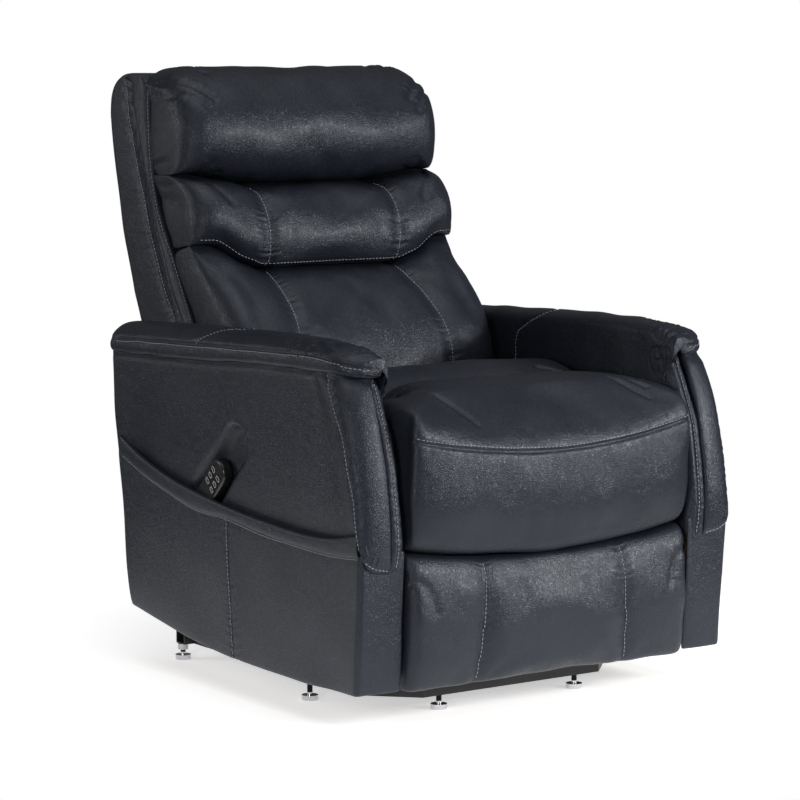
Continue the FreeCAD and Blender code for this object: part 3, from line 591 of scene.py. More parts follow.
HEAD_FRONT = [(304, 903), (270, 910), (247, 934), (236, 975), (238, 1020), (258, 1062), (296, 1097),
    (345, 1119), (402, 1123)]
HEAD_REAR = [(304, 903), (366, 906), (379, 960), (382, 1020), (379, 1072), (390, 1104), (402, 1123)]
MIDDLE_FRONT = [(212, 746), (190, 757), (180, 786), (181, 824), (196, 860), (232, 890), (300, 902)]
MIDDLE_REAR = [(212, 746), (286, 748), (299, 770), (362, 882), (364, 902), (300, 902)]
LUMBAR_FRONT = [(64, 402), (50, 452), (42, 520), (39, 585), (46, 620), (66, 652), (99, 683), (146, 716),
    (186, 738), (212, 746)]
LUMBAR_REAR = [(64, 402), (150, 402), (152, 470), (186, 560), (226, 646), (284, 738), (212, 746)]


# the seams, from the top down, and the gathered folds at the ends
BAND_SEAM = [(148, 0, 905), (150, 0, 830), (148, 0, 742)]
BAND_STITCH = [(148, 0, 896), (150, 0, 830), (148, 0, 752)]
LUMBAR_SEAM = [(146, 0, 752), (157, 0, 690), (169, 0, 620), (175, 0, 560), (172, 0, 440)]
LUMBAR_STITCH = [(147, 0, 738)] + LUMBAR_SEAM[1:]
HEAD_GATHERS = [((300, 372, 1094), (225, 262, 1060)), ((300, 378, 1080), (235, 250, 1038)), ((300, 370, 925),
    (215, 262, 922)), ((296, 372, 940), (238, 250, 948)), ((250, 385, 1122), (205, 320, 1104)),
    ((205, 392, 1124), (178, 335, 1110))]
BAND_TUCKS = [([(292, 340, 905), (262, 262, 892), (222, 205, 868)], 30), ([(294, 335, 880),
    (276, 262, 862)], 20)]
LUMBAR_HOLLOW = [(262, 190, 765), (240, 150, 700), (238, 110, 630)]
# ways to look for a surface
REARWARD, FORWARD, DOWN = (0, 1, 0), (0, -1, 0), (0, 0, -1)


def back_cushions():
    """Head pillow, middle band and lumbar cushion, with their seams."""
    def bend_head(grid, along):
        grid[..., 2] += crease_rise(grid[..., 0]) * (1 - along) ** 1.5
        # the top corners are rounded
        corner = ease(np.abs(grid[..., 0]), 235, BACK_HALF) ** 1.6 * ease(along, 0.55, 1)
        grid[..., 2] -= 26 * corner

    def bend_middle(grid, along):
        lift = seam_rise(grid[..., 0]) * (1 - along) ** 1.3 + crease_rise(grid[..., 0]) * along ** 2
        grid[..., 2] += lift
        grid[..., 1] += lift * 0.42 * (1 - along)

    def bend_lumbar(grid, along):
        lift = seam_rise(grid[..., 0]) * along ** 3
        grid[..., 2] += lift
        grid[..., 1] += lift * 0.42

    half = BACK_HALF - 2
    shapes = (
        ("head_pillow", HEAD_FRONT, HEAD_REAR, half, 60, "head_pillow", 62, 0.42, bend_head, 2.3),
        ("middle_band", MIDDLE_FRONT, MIDDLE_REAR, half, 54, "middle_cushion", 54, 0.34, bend_middle, 2.4),
        ("lumbar", LUMBAR_FRONT, LUMBAR_REAR, half - 1, 66, "lumbar_cushion", 84, 0.45, bend_lumbar, 2.5))
    (head, head_front), (middle, middle_front), (lumbar, lumbar_front) = [
        cushion(name, front, rear, wide, radius, "back", [cad], rows, spine, bend, power)
        for name, front, rear, wide, radius, cad, rows, spine, bend, power in shapes]
    bands = on_both(cast, tree_of(middle), BAND_SEAM, 40, REARWARD)
    curves = on_both(cast, tree_of(lumbar), LUMBAR_SEAM, 60, REARWARD)
    rim = half - 7
    inflate(head, held(head, head_front, [], rim), 5, 0.012, 22)
    inflate(middle, held(middle, middle_front, bands, rim), 4, 0.012, 18)
    inflate(lumbar, held(lumbar, lumbar_front, curves, rim), 4, 0.012, 18)
    for piece in (head, middle, lumbar):
        subdivided(piece)

    # gathered ends and folds of the head pillow, then the seams, tucks and hollows of the others
    tree = tree_of(head)
    carve(head, [drawn(tree, line) for line in bows(HEAD_GATHERS, (0, -12, 3))], 3.2, 7, 1.2, 16, 31)
    carve(middle, bands, 5.0, 16)
    carve(middle, bands, 3.2, 2.6, 0.8, 18, 41)
    carve(lumbar, curves, 4.5, 18)
    carve(lumbar, curves, 3.2, 2.6, 0.8, 18, 43)
    tree = tree_of(middle)
    tucks = [drawn(tree, smooth(turned(line, sign), count)) for sign in (-1, 1) for line, count in BAND_TUCKS]
    carve(middle, tucks, 3.2, 8, 0.8, 14, 47)
    carve(lumbar, on_both(drawn, tree_of(lumbar), LUMBAR_HOLLOW, 30), 6, 24)
    for piece, seed in ((head, 3), (middle, 4), (lumbar, 5)):
        soften(piece, 1.3, 110, seed)

    tree = tree_of(middle)
    low = level(-288, 288, 140, 0, lambda x: 755 + seam_rise(x))
    stitches("middle_band", "back", tree, on_both(cast, tree, BAND_STITCH, 40, REARWARD), 3.4)
    stitches("middle_band_edge", "back", tree, [cast(tree, low, REARWARD)], 1.5)
    tree = tree_of(lumbar)
    stitches("lumbar", "back", tree, on_both(cast, tree, LUMBAR_STITCH, 60, REARWARD), 3.4)


SHELL_FRONT = [(276, 440), (246, 530), (214, 600), (242, 660), (306, 770), (366, 882), (386, 1020),
    (384, 1080), (402, 1112)]
SHELL_REAR = [(276, 440), (302, 408), (318, 450), (357, 520), (414, 630), (448, 715), (481, 810), (505, 926),
    (525, 1032), (521, 1078), (500, 1101), (460, 1113), (402, 1112)]
SIDE_STITCH = [(372, 1098), (383, 1066), (384, 1020), (380, 974), (372, 919), (363, 882), (349, 846),
    (328, 810), (302, 770), (270, 716), (232, 646), (210, 600)]
STRIP_STITCH = [(466, 1096), (463, 1088), (456, 1042), (439, 982), (421, 926), (399, 871), (377, 807),
    (346, 744), (315, 686), (293, 651), (270, 600)]


def back_shell():
    """The cover of the back's sides, top and rear, with the deep fold between its side strips."""
    piece, _ = cushion("back_shell", SHELL_FRONT, SHELL_REAR, BACK_HALF, 16, "back", ["back_shell"],
                       110, 0.5, power=2.6, step=12)
    subdivided(piece)

    def on_sides(line, shift):
        curve = smooth(line, 120) + (shift, 0)
        return [np.insert(curve, 0, sign * BACK_HALF, axis=1) for sign in (-1, 1)]

    rear_edges = on_sides(STRIP_STITCH, 0)
    carve(piece, on_sides(STRIP_STITCH, -16), 13, 7.5)
    carve(piece, rear_edges, 1.6, 3.5, 0.8, 16, 61)
    tree = tree_of(piece)
    seams = [cast(tree, level(-288, 288, 60, 900, lambda x: height), FORWARD) for height in (1052, 690)]
    carve(piece, seams, 2.6, 4, 1.0, 20, 63)
    soften(piece, 1.0, 150, 6)
    tree = tree_of(piece)
    for name, lines, offset in (("back_strip", rear_edges, 4),
                                ("back_side", on_sides(SIDE_STITCH, 5), 3.5)):
        stitches(name, "back", tree, [drawn(tree, line) for line in lines], offset)
    stitches("back_rear", "back", tree, seams, -3.4, 3.4)


# ---- seat
SEAT_FRONT = [(-452, 288), (-488, 285), (-509, 298), (-518, 345), (-523, 400), (-526, 440), (-524, 467),
    (-517, 500), (-500, 528), (-465, 548), (-410, 560), (-335, 562), (-285, 556), (-240, 550), (-205, 556),
    (-160, 568), (-115, 574), (-60, 569), (-10, 554), (34, 524)]
SEAT_REAR = [(-452, 288), (-430, 301), (-200, 302), (20, 302), (38, 330), (38, 480), (34, 524)]


def smile(x):
    return 36 * (np.abs(x) / SEAT_HALF) ** 1.9


VALLEY = [(-225, -256, 0), (-150, -226, 0), (0, -206, 0), (150, -226, 0), (225, -256, 0)]
# on each side, the crease forwards from the valley's end, and the one to the arm
CREASES = [([(225, -256, 0), (234, -310, 0), (252, -370, 0)], 40), ([(225, -256, 0), (262, -256, 0),
    (304, -240, 0)], 50)]
WRINKLES = [((238, -300, 0), (205, -345, 0)), ((252, -330, 0), (216, -380, 0)), ((262, -285, 0),
    (290, -335, 0)), ((200, -236, 0), (150, -275, 0)), ((246, -215, 0), (212, -180, 0))]
# longer creases down the front of the bolster
PINCHES = [[(-222, -400, 0), (-208, -436, 0), (-188, -466, 0), (-158, -494, 0)],
           [(186, -424, 0), (200, -448, 0), (212, -466, 0), (230, -486, 0)],
           [(214, -424, 0), (224, -444, 0), (240, -466, 0)]]


def seat():
    """One wide seat: a full front bolster under a curved seam, and a tufted top."""
    def bend(grid, along):
        x, y, z = grid[..., 0], grid[..., 1], grid[..., 2]
        front = ease(y, -380, -470)
        grid[..., 2] = z + smile(x) * front * ease(z, 566, 500) * (0.75 + 0.25 * ease(z, 300, 420))
        grid[..., 1] = y + 9 * (np.abs(x) / SEAT_HALF) ** 3 * front
        grid[..., 0] = x * (1 + 0.042 * ease(y, -488, -512) * ease(z, 300, 340))

    piece, is_front = cushion("seat", SEAT_FRONT, SEAT_REAR, SEAT_HALF, 34, "chair_body",
                              ["seat_cushion"], 150, 0.5, bend, 2.8)
    tree = tree_of(piece)
    seam = cast(tree, level(-300, 300, 160, 0, lambda x: 467 + smile(x)), REARWARD)
    valley = cast(tree, smooth(VALLEY, 90), DOWN)
    forward, outer = [[cast(tree, smooth(turned(line, sign), count), DOWN) for sign in (-1, 1)]
                      for line, count in CREASES]
    creases = [forward[0], outer[0], forward[1], outer[1]]
    inflate(piece, held(piece, is_front, [seam, valley] + creases, SEAT_HALF - 6, 318, width=8), 4, 0.01, 16)
    subdivided(piece)
    carve(piece, [valley], 4, 24)
    carve(piece, forward, 15, 22)
    carve(piece, outer, 8, 20)
    carve(piece, [line[:3] for line in forward], 14, 30)
    carve(piece, [valley], 3, 5, 0.8, 22, 71)
    carve(piece, creases, 8, 7, 2.4, 30, 73)
    carve(piece, [seam], 4.2, 3.2, 0.45, 16, 75)
    tree = tree_of(piece)
    carve(piece, [cast(tree, line, DOWN) for line in bows(WRINKLES, (4, 0, 0))], 4.6, 6, 0.6, 12, 77)
    carve(piece, [cast(tree, smooth(line, 30), DOWN) for line in PINCHES], 4.2, 4.6, 0.8, 12, 79)
    soften(piece, 1.6, 120, 8)
    tree = tree_of(piece)
    seam = cast(tree, level(-298, 298, 160, 0, lambda x: 468 + smile(x)), REARWARD)
    stitches("seat_front", "chair_body", tree, [seam], 5.2)
    stitches("seat_top", "chair_body", tree, [cast(tree, valley + (0, 0, 60), DOWN)], -3.2)


# ---- footrest
FOOT_FRONT = [(-472, 70), (-488, 66), (-499, 78), (-507, 120), (-513, 170), (-514, 210), (-510, 250),
    (-500, 278), (-484, 289), (-462, 289), (-442, 284)]
FOOT_REAR = [(-472, 70), (-471, 120), (-471, 240), (-470, 274), (-458, 279), (-442, 284)]
FOOT_SEAM = [(151, 0, 284), (156, 0, 180), (164, 0, 72)]
FOOT_STITCH = [(151, 0, 278), (156, 0, 180), (164, 0, 76)]


def footrest():
    """The padded front of the footrest, with two upright seams."""
    def bend(grid, along):
        grid[..., 2] += (23 * (grid[..., 0] / FOOT_HALF) ** 2 - 5) * ease(grid[..., 2], 200, 290)

    piece, is_front = cushion("footrest", FOOT_FRONT, FOOT_REAR, FOOT_HALF, 34, "footrest",
                              ["footrest_pad"], 70, 0.9, bend)
    seams = on_both(cast, tree_of(piece), FOOT_SEAM, 50, REARWARD)
    inflate(piece, held(piece, is_front, seams, FOOT_HALF - 5, high=276), 3, 0.008, 8)
    subdivided(piece)
    carve(piece, seams, 3.0, 14)
    carve(piece, seams, 3.0, 2.8, 0.6, 16, 81)
    tucks = on_both(drawn, tree_of(piece), [(300, -488, 268), (272, -505, 242), (258, -508, 205)], 30)
    carve(piece, tucks, 3.2, 9, 0.8, 14, 83)
    soften(piece, 1.0, 100, 9)
    tree = tree_of(piece)
    stitches("footrest", "footrest", tree, on_both(cast, tree, FOOT_STITCH, 50, REARWARD), 3.4)


# ---- arms
FRONT_AT = follow([(60, -485), (150, -491), (229, -497), (331, -500), (400, -497)])
REAR_AT = follow([(100, 266), (124, 281), (226, 301), (330, 311), (424, 325), (499, 336), (600, 340)])
LOWER_AT = follow([(-520, 70), (-103, 70), (106, 89), (262, 113), (340, 122)])
MOUTH_AT = follow([(-500, 350), (-478, 346), (-406, 333), (-330, 330), (-232, 334), (-131, 341), (-34, 351),
    (23, 358), (117, 374), (229, 403), (318, 440), (340, 449)])
BAND_AT = follow([(-500, 312), (-425, 306), (-330, 307), (-198, 313), (-117, 322), (-62, 327), (-5, 327),
    (45, 331), (117, 345), (229, 374), (309, 403), (340, 414)])
STITCH_AT = follow([(280, -500), (304, -499), (330, -491), (357, -485), (408, -475), (458, -462),
    (508, -444), (557, -420), (609, -390), (640, -370)])
CORNER_AT = follow([(270, -500), (331, -505), (377, -504), (449, -492), (539, -468), (610, -440),
    (660, -416)])
STRIP_AT = follow([(270, -504), (338, -510), (400, -504), (485, -487), (557, -456), (616, -428), (650, -404)])
CREASE_AT = follow([(-460, 606), (-440, 608), (-381, 613), (-202, 611), (12, 601), (345, 591)])
LIP_AT = follow([(-460, 620), (-445, 626), (-420, 634), (-364, 642), (-202, 638), (76, 628), (345, 617)])
TOP_AT = follow([(-460, 631), (-446, 643), (-418, 653), (-372, 660), (-232, 665), (-40, 661), (149, 655),
    (330, 647), (345, 640)])


# the corner of the arm's covers, in plan
CORNER = 10
# the front end of the pad: where it starts to turn in, and where it closes
PAD_TURN, PAD_TIP = -366, (329, -453, 617)
ROLL_FOOT = ([0, 0.12, 0.28, 0.42, 0.56, 0.72, 1], [334, 316, 300, 290, 283, 278, 275])
# the band's section: out from the side, share of its height, and up
BAND_SHAPE = [(-4, 0, -4), (-0.5, 0, -1), (1.2, 0.2, 0), (1.6, 0.6, 0), (1.2, 1, -4), (-0.5, 1, -0.8),
    (-3.2, 1, 0), (-6, 1, -2), (-6.5, 1, -12)]
STRIP_SHAPE = [(352, 22), (349, 10), (344, 3), (336, 2), (325, 7), (316, 17), (313.4, 28), (313.4, 60)]
STRIP_SEAM = [(330, -426, 618), (331, -454, 557), (330, -486, 485), (328, -505, 400), (327, -511, 338),
    (325, -507, 284)]
PAD_CROSS = [(ARM_OUT, 33, 632), (402, 18, 646), (380, -20, 660), (350, -62, 664), (322, -50, 654),
    (314, -11, 634), (313.5, 22, 606), (313.5, 26, 520)]
ROLL_SEAM = [(ARM_OUT, -497, 328), (402, -502, 308), (390, -506, 296), (374, -507, 288), (350, -507, 283)]
PAD_FOLDS = [((396, -388, 648), (372, -320, 662)), ((380, -416, 644), (352, -346, 662)), ((352, -440, 640),
    (332, -380, 660)), ((404, -350, 648), (388, -290, 662)), ((402, -330, 646), (392, -262, 660)),
    ((330, -440, 630), (316, -404, 640)), ((322, -436, 616), (313.5, -398, 612)), ((320, -430, 600),
    (313.5, -400, 588))]


def around(outer, bottom, top, rows, front, inner):
    """A sheet that goes round an arm in plan, from its front face along its side to its rear face."""
    quarter = np.linspace(0, math.pi / 2, 7)
    legs = []
    if front:
        legs += [(x, 0, 0) for x in np.linspace(inner, outer - CORNER, 9)[:-1]]
        legs += [(outer - CORNER + CORNER * math.sin(a), CORNER * (1 - math.cos(a)), 0) for a in quarter]
    legs += [(outer, CORNER, t) for t in np.linspace(0, 1, 100)[1 if front else 0:-1]]
    legs += [(outer - CORNER + CORNER * math.cos(a), -CORNER * (1 - math.sin(a)), 1) for a in quarter]
    legs += [(x, 0, 1) for x in np.linspace(outer - CORNER, inner, 9)[1:]]
    legs = np.array(legs)
    share = np.linspace(0, 1, rows)[:, None]
    y = np.broadcast_to(-490 + 790 * legs[:, 2], (rows, len(legs)))
    for _ in range(3):
        z = bottom(y) + (top(y) - bottom(y)) * share
        first, last = FRONT_AT(z) if front else STITCH_AT(z) - 6 - CORNER, REAR_AT(z)
        between = first + CORNER + (last - first - 2 * CORNER) * legs[:, 2]
        y = np.where(legs[:, 2] == 1, last + legs[:, 1], between)
        y = np.where(legs[:, 2] == 0, first + legs[:, 1], y)
    return np.dstack([np.broadcast_to(legs[:, 0], y.shape), y, z])


def from_edge(count):
    """How many steps each place of a row is from the row's nearer end."""
    return np.minimum(np.arange(count), np.arange(count)[::-1])


def skin(name, grid, sign, thick, stands_for, roll, out):
    """A leather layer on a sheet of points, its edges rolled in; out is the side that it faces."""
    grid = turned(grid, sign)
    normal = np.cross(np.gradient(grid, axis=1), np.gradient(grid, axis=0))
    normal = normal / np.maximum(np.linalg.norm(normal, axis=2, keepdims=True), 1e-9)
    rows, columns = grid.shape[:2]
    if normal[rows // 2, columns // 2] @ np.array(out) < 0:
        normal = -normal
    edge = np.minimum(from_edge(rows)[:, None], from_edge(columns))
    front = grid - normal * (roll * np.exp(-edge / 1.1))[..., None]
    piece, _ = cover(name, front, grid - normal * thick, "chair_body", stands_for)
    subdivided(piece)
    return piece


def side_panel(side, sign):
    """The upper side panel, which hollows towards the pocket, and behind the handset."""
    grid = around(ARM_OUT - 1, lambda y: MOUTH_AT(y) - 46, lambda y: CREASE_AT(y) + 8, 60, False, ARM_IN + 1)
    y, z = grid[..., 1], grid[..., 2]
    above = np.maximum(z - MOUTH_AT(y), 0)
    hollow = 11 * np.exp(-above / 60) * (1 - 0.7 * ease(y, 220, 315))
    hollow += 2.6 * np.exp(-((y - STITCH_AT(z) - 40) / 14) ** 2) * ease(z, 350, 450)
    hollow -= 2.5 * np.exp(-((y - STITCH_AT(z) - 12) / 14) ** 2)
    hollow += 7 * ease(z, CREASE_AT(y) - 12, CREASE_AT(y) + 3)
    if side == "right":
        (top_y, top_z), (way_y, way_z) = HANDSET_TOP, HANDSET_WAY
        along = np.clip((y - top_y) * way_y + (z - top_z) * way_z, -66, 150)
        apart = np.hypot(y - top_y - along * way_y, z - top_z - along * way_z)
        deep = 23.5 + 0.07 * np.maximum(along, 0)
        hollow = hollow + (deep - hollow) * (1 - ease(apart, 23, 44))
    grid[..., 0] -= hollow * (y < REAR_AT(z) - 3) * (grid[..., 0] > ARM_OUT - 14)
    panel = skin(side + "_side", grid, sign, 4, [side + "_side_panel"], 1, (sign, 0, 0))
    soften(panel, 0.9, 170, 21)


def pocket_cover(side, sign):
    """The lower cover, which is the pocket's front, with its upright seam."""
    grid = around(ARM_OUT - 2, LOWER_AT, lambda y: BAND_AT(y) + 4, 30, True, ARM_IN)
    pocket = skin(side + "_pocket", grid, sign, 5, [side + "_pocket_front"], 1.5, (sign, 0, 0))
    upright = smooth([(-74, 325), (-79, 240), (-88, 140), (-94, 70)], 60)
    upright = turned(np.insert(upright, 0, ARM_OUT, axis=1), sign)
    carve(pocket, [upright], 2.2, 4.5, 1.0, 20, 91)
    soften(pocket, 1.4, 170, 22)
    return pocket, upright


def pocket_band(side, sign):
    """The band along the pocket's mouth."""
    y = np.linspace(-494, 308, 170)
    outer = np.array([[(ARM_OUT + dx, yy, low + (high - low) * share + dz) for dx, share, dz in BAND_SHAPE]
                      for yy, low, high in zip(y, BAND_AT(y), MOUTH_AT(y))])
    band, _ = cover(side + "_pocket_band", turned(outer, sign), turned(outer + (-3.5, 0, 0), sign),
                    "chair_body")
    subdivided(band)
    return band


def front_roll(side, sign):
    """The padded roll down the front, from the side seam round the corner to the crease."""
    s = np.linspace(0, 1, 30)
    bottom = np.interp(s, *ROLL_FOOT)
    share = np.linspace(0, 1, 50)[:, None]
    z = bottom + (634 - bottom) * share
    angle = s * math.pi / 2
    power, inner = 2.4, 346
    deep = STITCH_AT(z) - CORNER_AT(z) + 5
    wide = ARM_OUT + 2 - inner
    tuck = 7 * np.exp(-(z - bottom) / 5)
    bulge = 2.5 * np.sin(math.pi * s) * ease(z, 640, 560) - 6 * ease(z, 590, 606)
    x = inner + wide * np.cos(angle) ** (2 / power) + bulge * np.cos(angle) - 0.6 * tuck * np.cos(angle)
    y = STITCH_AT(z) - deep * np.sin(angle) ** (2 / power) - bulge * np.sin(angle) + tuck * np.sin(angle)
    grid = np.dstack([x, y, z])
    return skin(side + "_arm_front", grid, sign, 16, (), 3, (sign, -0.7, 0))


def front_strip(side, sign):
    """The strip between the roll and the seat."""
    shape = smooth(STRIP_SHAPE, 30)
    z = np.linspace(274, 652, 60)[:, None]
    y = STRIP_AT(z) + shape[:, 1] + 8 * np.exp(-(z - 274) / 6)
    grid = np.dstack(np.broadcast_arrays(shape[:, 0], y, z))
    return skin(side + "_arm_strip", grid, sign, 9, [side + "_arm_front_pad"], 3, (0, -1, 0))


def arm_pad(side, sign):
    """The pad over the top, which runs down the inside of the arm; also the line of its lip."""
    turn = np.linspace(0, math.pi / 2, 24)
    y = np.r_[np.linspace(340, PAD_TURN, 110)[:-1], PAD_TURN - 86 * np.sin(turn) ** 0.9]
    edge = np.r_[np.full(109, ARM_OUT), 344 + (ARM_OUT - 344) * np.cos(turn) ** 0.8]
    grid = []
    for yy, out in zip(y, edge):
        low, lip, top = CREASE_AT(yy), LIP_AT(yy), TOP_AT(yy)
        rise, wide = top - lip, (out - ARM_IN) / (ARM_OUT - ARM_IN)
        section = [(out - 14, low + 3), (out - 5, low), (out + 1, low + 5), (out + 2.5, (low + lip) / 2),
                   (out + 1.5, lip - 4), (out - 2.5, lip - 0.5), (out - 1, lip + 3), (out - 3, lip + 7),
                   (out - 12 * wide, lip + rise * 0.56), (out - 30 * wide, lip + rise * 0.9),
                   (ARM_IN + 42 * wide, top), (ARM_IN + 20 * wide, top - 2), (ARM_IN + 5, top - 11),
                   (ARM_IN + 0.8, top - 30), *((ARM_IN + 0.6, height) for height in (560, 470, 340, 210, 90))]
        grid.append([(x, yy, z) for x, z in smooth(section, 130)])
    grid = np.array(grid)
    # the inside follows the arm's sloping front and rear edges
    yy, z = grid[..., 1], grid[..., 2]
    inside = (grid[..., 0] < ARM_IN + 10) * ease(z, 606, 560)
    first = np.where(z > 288, STRIP_AT(np.maximum(z, 288)) + 26, -478.0)
    ahead = np.where(yy < -200, -200 + (yy + 200) * (first + 200) / (-252.0), yy)
    behind = np.where(yy > 60, 60 + (yy - 60) * (REAR_AT(z) - 6 - 60) / 280.0, yy)
    grid[..., 1] = yy + inside * (np.where(yy < 0, ahead, behind) - yy)
    grid[..., 2] = np.maximum(grid[..., 2], LOWER_AT(grid[..., 1]) + 4)
    cap = []
    for keep in (0.8, 0.45, 0.0):
        row = grid[-1].copy()
        upper = ease(row[:, 2], 590, 606)[:, None]
        cap.append(row + upper * (1 - keep) * (PAD_TIP - row) + upper * np.array([0, -3.0 * (1 - keep), 0]))
    grid = np.concatenate([grid, np.array(cap)])
    pad = skin(side + "_arm_top", grid, sign, 7, [side + "_arm_pad", side + "_arm_lining"], 1.5,
               (-sign, 0, 0.1))
    return pad, [(out + 1, yy, float(LIP_AT(yy))) for yy, out in zip(y[:-1], edge[:-1])]


def arm(side, sign):
    """One arm: panel, pocket, padded front roll and strip, and the pad over the top, all sewn."""
    side_panel(side, sign)
    pocket, upright = pocket_cover(side, sign)
    band = pocket_band(side, sign)
    roll = front_roll(side, sign)
    strip = front_strip(side, sign)
    pad, lip = arm_pad(side, sign)

    def sewn(name, tree, lines, offset):
        stitches(side + name, "chair_body", tree, lines, offset)

    tree = tree_of(pad)
    lips = [drawn(tree, turned(lip[4:], sign))]
    cross = [drawn(tree, turned(smooth(PAD_CROSS, 90), sign))]
    carve(pad, lips, 2.4, 2.6, 0.3, 15, 101)
    carve(pad, cross, 1.8, 4, 0.7, 16, 103)
    folds = []
    for start, end in PAD_FOLDS:
        middle = (np.array(start) + np.array(end)) / 2 + (4, 0, 2)
        folds.append(drawn(tree, turned(smooth([start, middle, end], 24), sign)))
    carve(pad, folds, 3.0, 6, 1.2, 14, 105)
    soften(pad, 1.0, 110, 23)
    tree = tree_of(pad)
    sewn("_arm_top", tree, lips, 4.2 * sign)
    sewn("_arm_cross", tree, cross, 3.2 * sign)

    strip_seam = [drawn(tree_of(strip), turned(smooth(STRIP_SEAM, 80), sign))]
    carve(strip, strip_seam, 2.0, 3.4, 0.8, 14, 107)
    soften(strip, 0.8, 80, 24)
    sewn("_arm_strip", tree_of(strip), strip_seam, 3.0 * sign)

    z = np.linspace(612, 352, 60)
    upper = np.column_stack([np.full(60, ARM_OUT + 1.0), STITCH_AT(z) - 6, z])
    foot = smooth([(ARM_OUT + 1, STITCH_AT(352) - 6, 352)] + ROLL_SEAM, 40)
    roll_seam = [drawn(tree_of(roll), turned(np.vstack([upper, foot[1:]]), sign))]
    carve(roll, roll_seam, 1.2, 4, 0.6, 18, 109)
    soften(roll, 1.3, 110, 25)
    sewn("_arm_front", tree_of(roll), roll_seam, 0.0)

    tree = tree_of(band, pocket)
    along = turned([(ARM_OUT + 3, y, float(BAND_AT(y)) - 4) for y in np.linspace(300, -490, 190)], sign)
    sewn("_pocket", tree, [cast(tree, along, (-sign, 0, 0))], 0.0)
    sewn("_pocket_seam", tree_of(pocket), [upright], 3.4 * sign)


def rear_cover():
    """The soft panel that closes the rear, sewn along its edges."""
    low, high = millimetres("rear_panel")
    x = np.linspace(low[0] + 1, high[0] - 1, 50)
    share = np.linspace(0, 1, 26)[:, None]
    y = low[1] + 8.5 + (high[1] - low[1] - 8) * share - 3 * np.exp(-(high[0] - np.abs(x)) / 6)
    grid = np.dstack(np.broadcast_arrays(x, y, low[2] + 1 + (high[2] - low[2] - 2) * share))
    piece = skin("rear_panel", grid, 1, 7, ["rear_panel"], 2, (0, 1, 0))
    soften(piece, 1.2, 150, 33)
    tree = tree_of(piece)
    lines = [cast(tree, level(low[0] + 12, high[0] - 12, 60, 900, lambda x: height), FORWARD)
             for height in (low[2] + 12, high[2] - 12)]
    stitches("rear_panel", "chair_body", tree, lines, 0.0)


# ---- handset
WIRE, WIRE_SIDES = 0.42, 8


def key_rims():
    """Pale rims round the handset's keys."""
    material, tree, surface = new_material("key_rim")
    dress(tree, blended(tree, noise(tree, 600, 2), (0.42, 0.42, 0.42), (0.6, 0.6, 0.6)))
    surface.inputs["Roughness"].default_value = 0.5
    for key in ("back_up", "back_down", "legs_up", "legs_down", "lift_up", "lift_down"):
        cap = frame["nodes"]["key_" + key]
        points = np.array([vertex.co for vertex in cap.data.vertices]) * 1000
        centre = points.mean(0)
        apart = points - centre
        _, _, axes = np.linalg.svd(apart, full_matrices=False)
        long, wide, thick = [np.ptp(apart @ axis) / 2 for axis in axes]
        face = centre + axes[2] * np.sign(-axes[2][0]) * (thick + 0.05)
        turn = np.linspace(0, 2 * math.pi, 40, endpoint=False)[:, None]
        line = face
        for axis, reach, part in ((axes[0], long * 0.86, np.cos(turn)), (axes[1], wide * 0.84, np.sin(turn))):
            line = line + axis * reach * np.sign(part) * np.abs(part) ** 0.5
        ahead = np.roll(line, -1, 0) - np.roll(line, 1, 0)
        ahead /= np.linalg.norm(ahead, axis=1, keepdims=True)
        first = np.cross(ahead, np.array([0.3, 0.1, 0.95]))
        first /= np.linalg.norm(first, axis=1, keepdims=True)
        second = np.cross(ahead, first)
        rings = np.array([line + WIRE * (first * math.cos(a) + second * math.sin(a))
                          for a in np.linspace(0, 2 * math.pi, WIRE_SIDES, endpoint=False)])
        outward(put(f"key_{key}_rim", rings.transpose(1, 0, 2).reshape(-1, 3),
                    ring_faces(len(line), WIRE_SIDES, loop=True), "key_" + key, material))


# ---- studio
def aimed(name, data, place, aim):
    """An object that looks from a place at a point."""
    item = bpy.data.objects.new(name, data)
    bpy.context.scene.collection.objects.link(item)
    item.location = place
    item.rotation_mode = "QUATERNION"
    item.rotation_quaternion = (Vector(aim) - Vector(place)).to_track_quat("-Z", "Y")
    return item


def camera():
    """A long lens from the sitter's right front, a little above the arms."""
    turn, lift, away = math.radians(34.9), math.radians(6.66), 5.625
    target = Vector((0.0012, -0.0333, 0.5068))
    back = Vector((-math.sin(turn) * math.cos(lift), -math.cos(turn) * math.cos(lift), math.sin(lift)))
    data = bpy.data.cameras.new("camera")
    data.lens, data.sensor_width = 135.2, 36
    data.clip_end = 60
    bpy.context.scene.camera = aimed("camera", data, target + back * away, target)


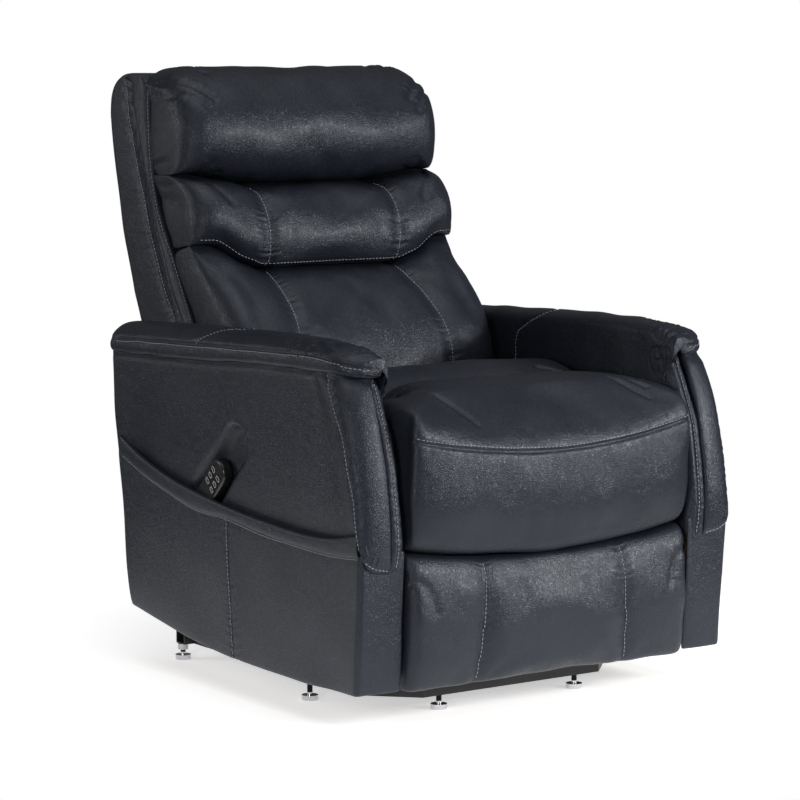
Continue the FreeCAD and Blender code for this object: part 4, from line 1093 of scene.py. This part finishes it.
def surround():
    """A white surround, which lights the chair less than it shows."""
    world = bpy.data.worlds.new("studio")
    bpy.context.scene.world = world
    world.use_nodes = True
    tree = world.node_tree
    light = tree.nodes["Background"]
    settle(light, {"Color": (0.96, 0.98, 1, 1), "Strength": 0.11})
    shown = node(tree, "ShaderNodeBackground", Color=(1, 1, 1, 1), Strength=1.0)
    path = node(tree, "ShaderNodeLightPath")
    mix = node(tree, "ShaderNodeMixShader")
    tree.links.new(path.outputs["Is Camera Ray"], mix.inputs[0])
    tree.links.new(light.outputs[0], mix.inputs[1])
    tree.links.new(shown.outputs[0], mix.inputs[2])
    tree.links.new(mix.outputs[0], tree.nodes["World Output"].inputs["Surface"])


def floor_disc(radius=1.2, corners=96):
    """A round white floor."""
    material, tree, surface = new_material("floor")
    dress(tree, blended(tree, noise(tree, 2, 2), (0.93, 0.93, 0.93), (0.95, 0.95, 0.95)))
    settle(surface, {"Roughness": 0.8, "Specular IOR Level": 0.0, "Emission Color": (1, 1, 1, 1),
                     "Emission Strength": 0.54})
    ring = [(radius * math.cos(a), radius * math.sin(a), 0)
            for a in np.linspace(0, 2 * math.pi, corners, endpoint=False)]
    mesh = bpy.data.meshes.new("floor")
    mesh.from_pydata(ring, [], [list(range(corners))])
    mesh.materials.append(material)
    floor = bpy.data.objects.new("floor", mesh)
    bpy.context.scene.collection.objects.link(floor)


def lamps():
    """A soft sky, and disc lamps: name, place, aim, diameter and power."""
    sun = bpy.data.lights.new("sky", "SUN")
    sun.energy, sun.angle = 1.15, math.radians(60)
    aimed("sky", sun, (0, 0, 0), (0.05, 0.22, -1))
    for name, place, aim, size, power in (("low front", (1.9, -2.8, 1.25), (0, 0, 0.95), 0.8, 96),
                                          ("high front", (0.4, -3.1, 1.8), (0, 0, 0.5), 0.8, 8),
                                          ("side", (-2.9, -2.1, 0.95), (0, 0, 0.5), 0.8, 30),
                                          ("top", (0, -0.5, 3.6), (0, 0, 0.5), 1.8, 8),
                                          ("rear", (-2.6, 1.9, 1.3), (0, 0, 0.8), 1.2, 20)):
        data = bpy.data.lights.new(name, "AREA")
        data.shape, data.size, data.energy = "DISK", size, power
        aimed(name, data, place, aim)


bpy.context.scene.view_settings.view_transform = "Standard"
camera()
surround()
floor_disc()
lamps()
back_cushions()
back_shell()
seat()
footrest()
for side_name, side_sign in SIDES:
    arm(side_name, side_sign)
rear_cover()
key_rims()
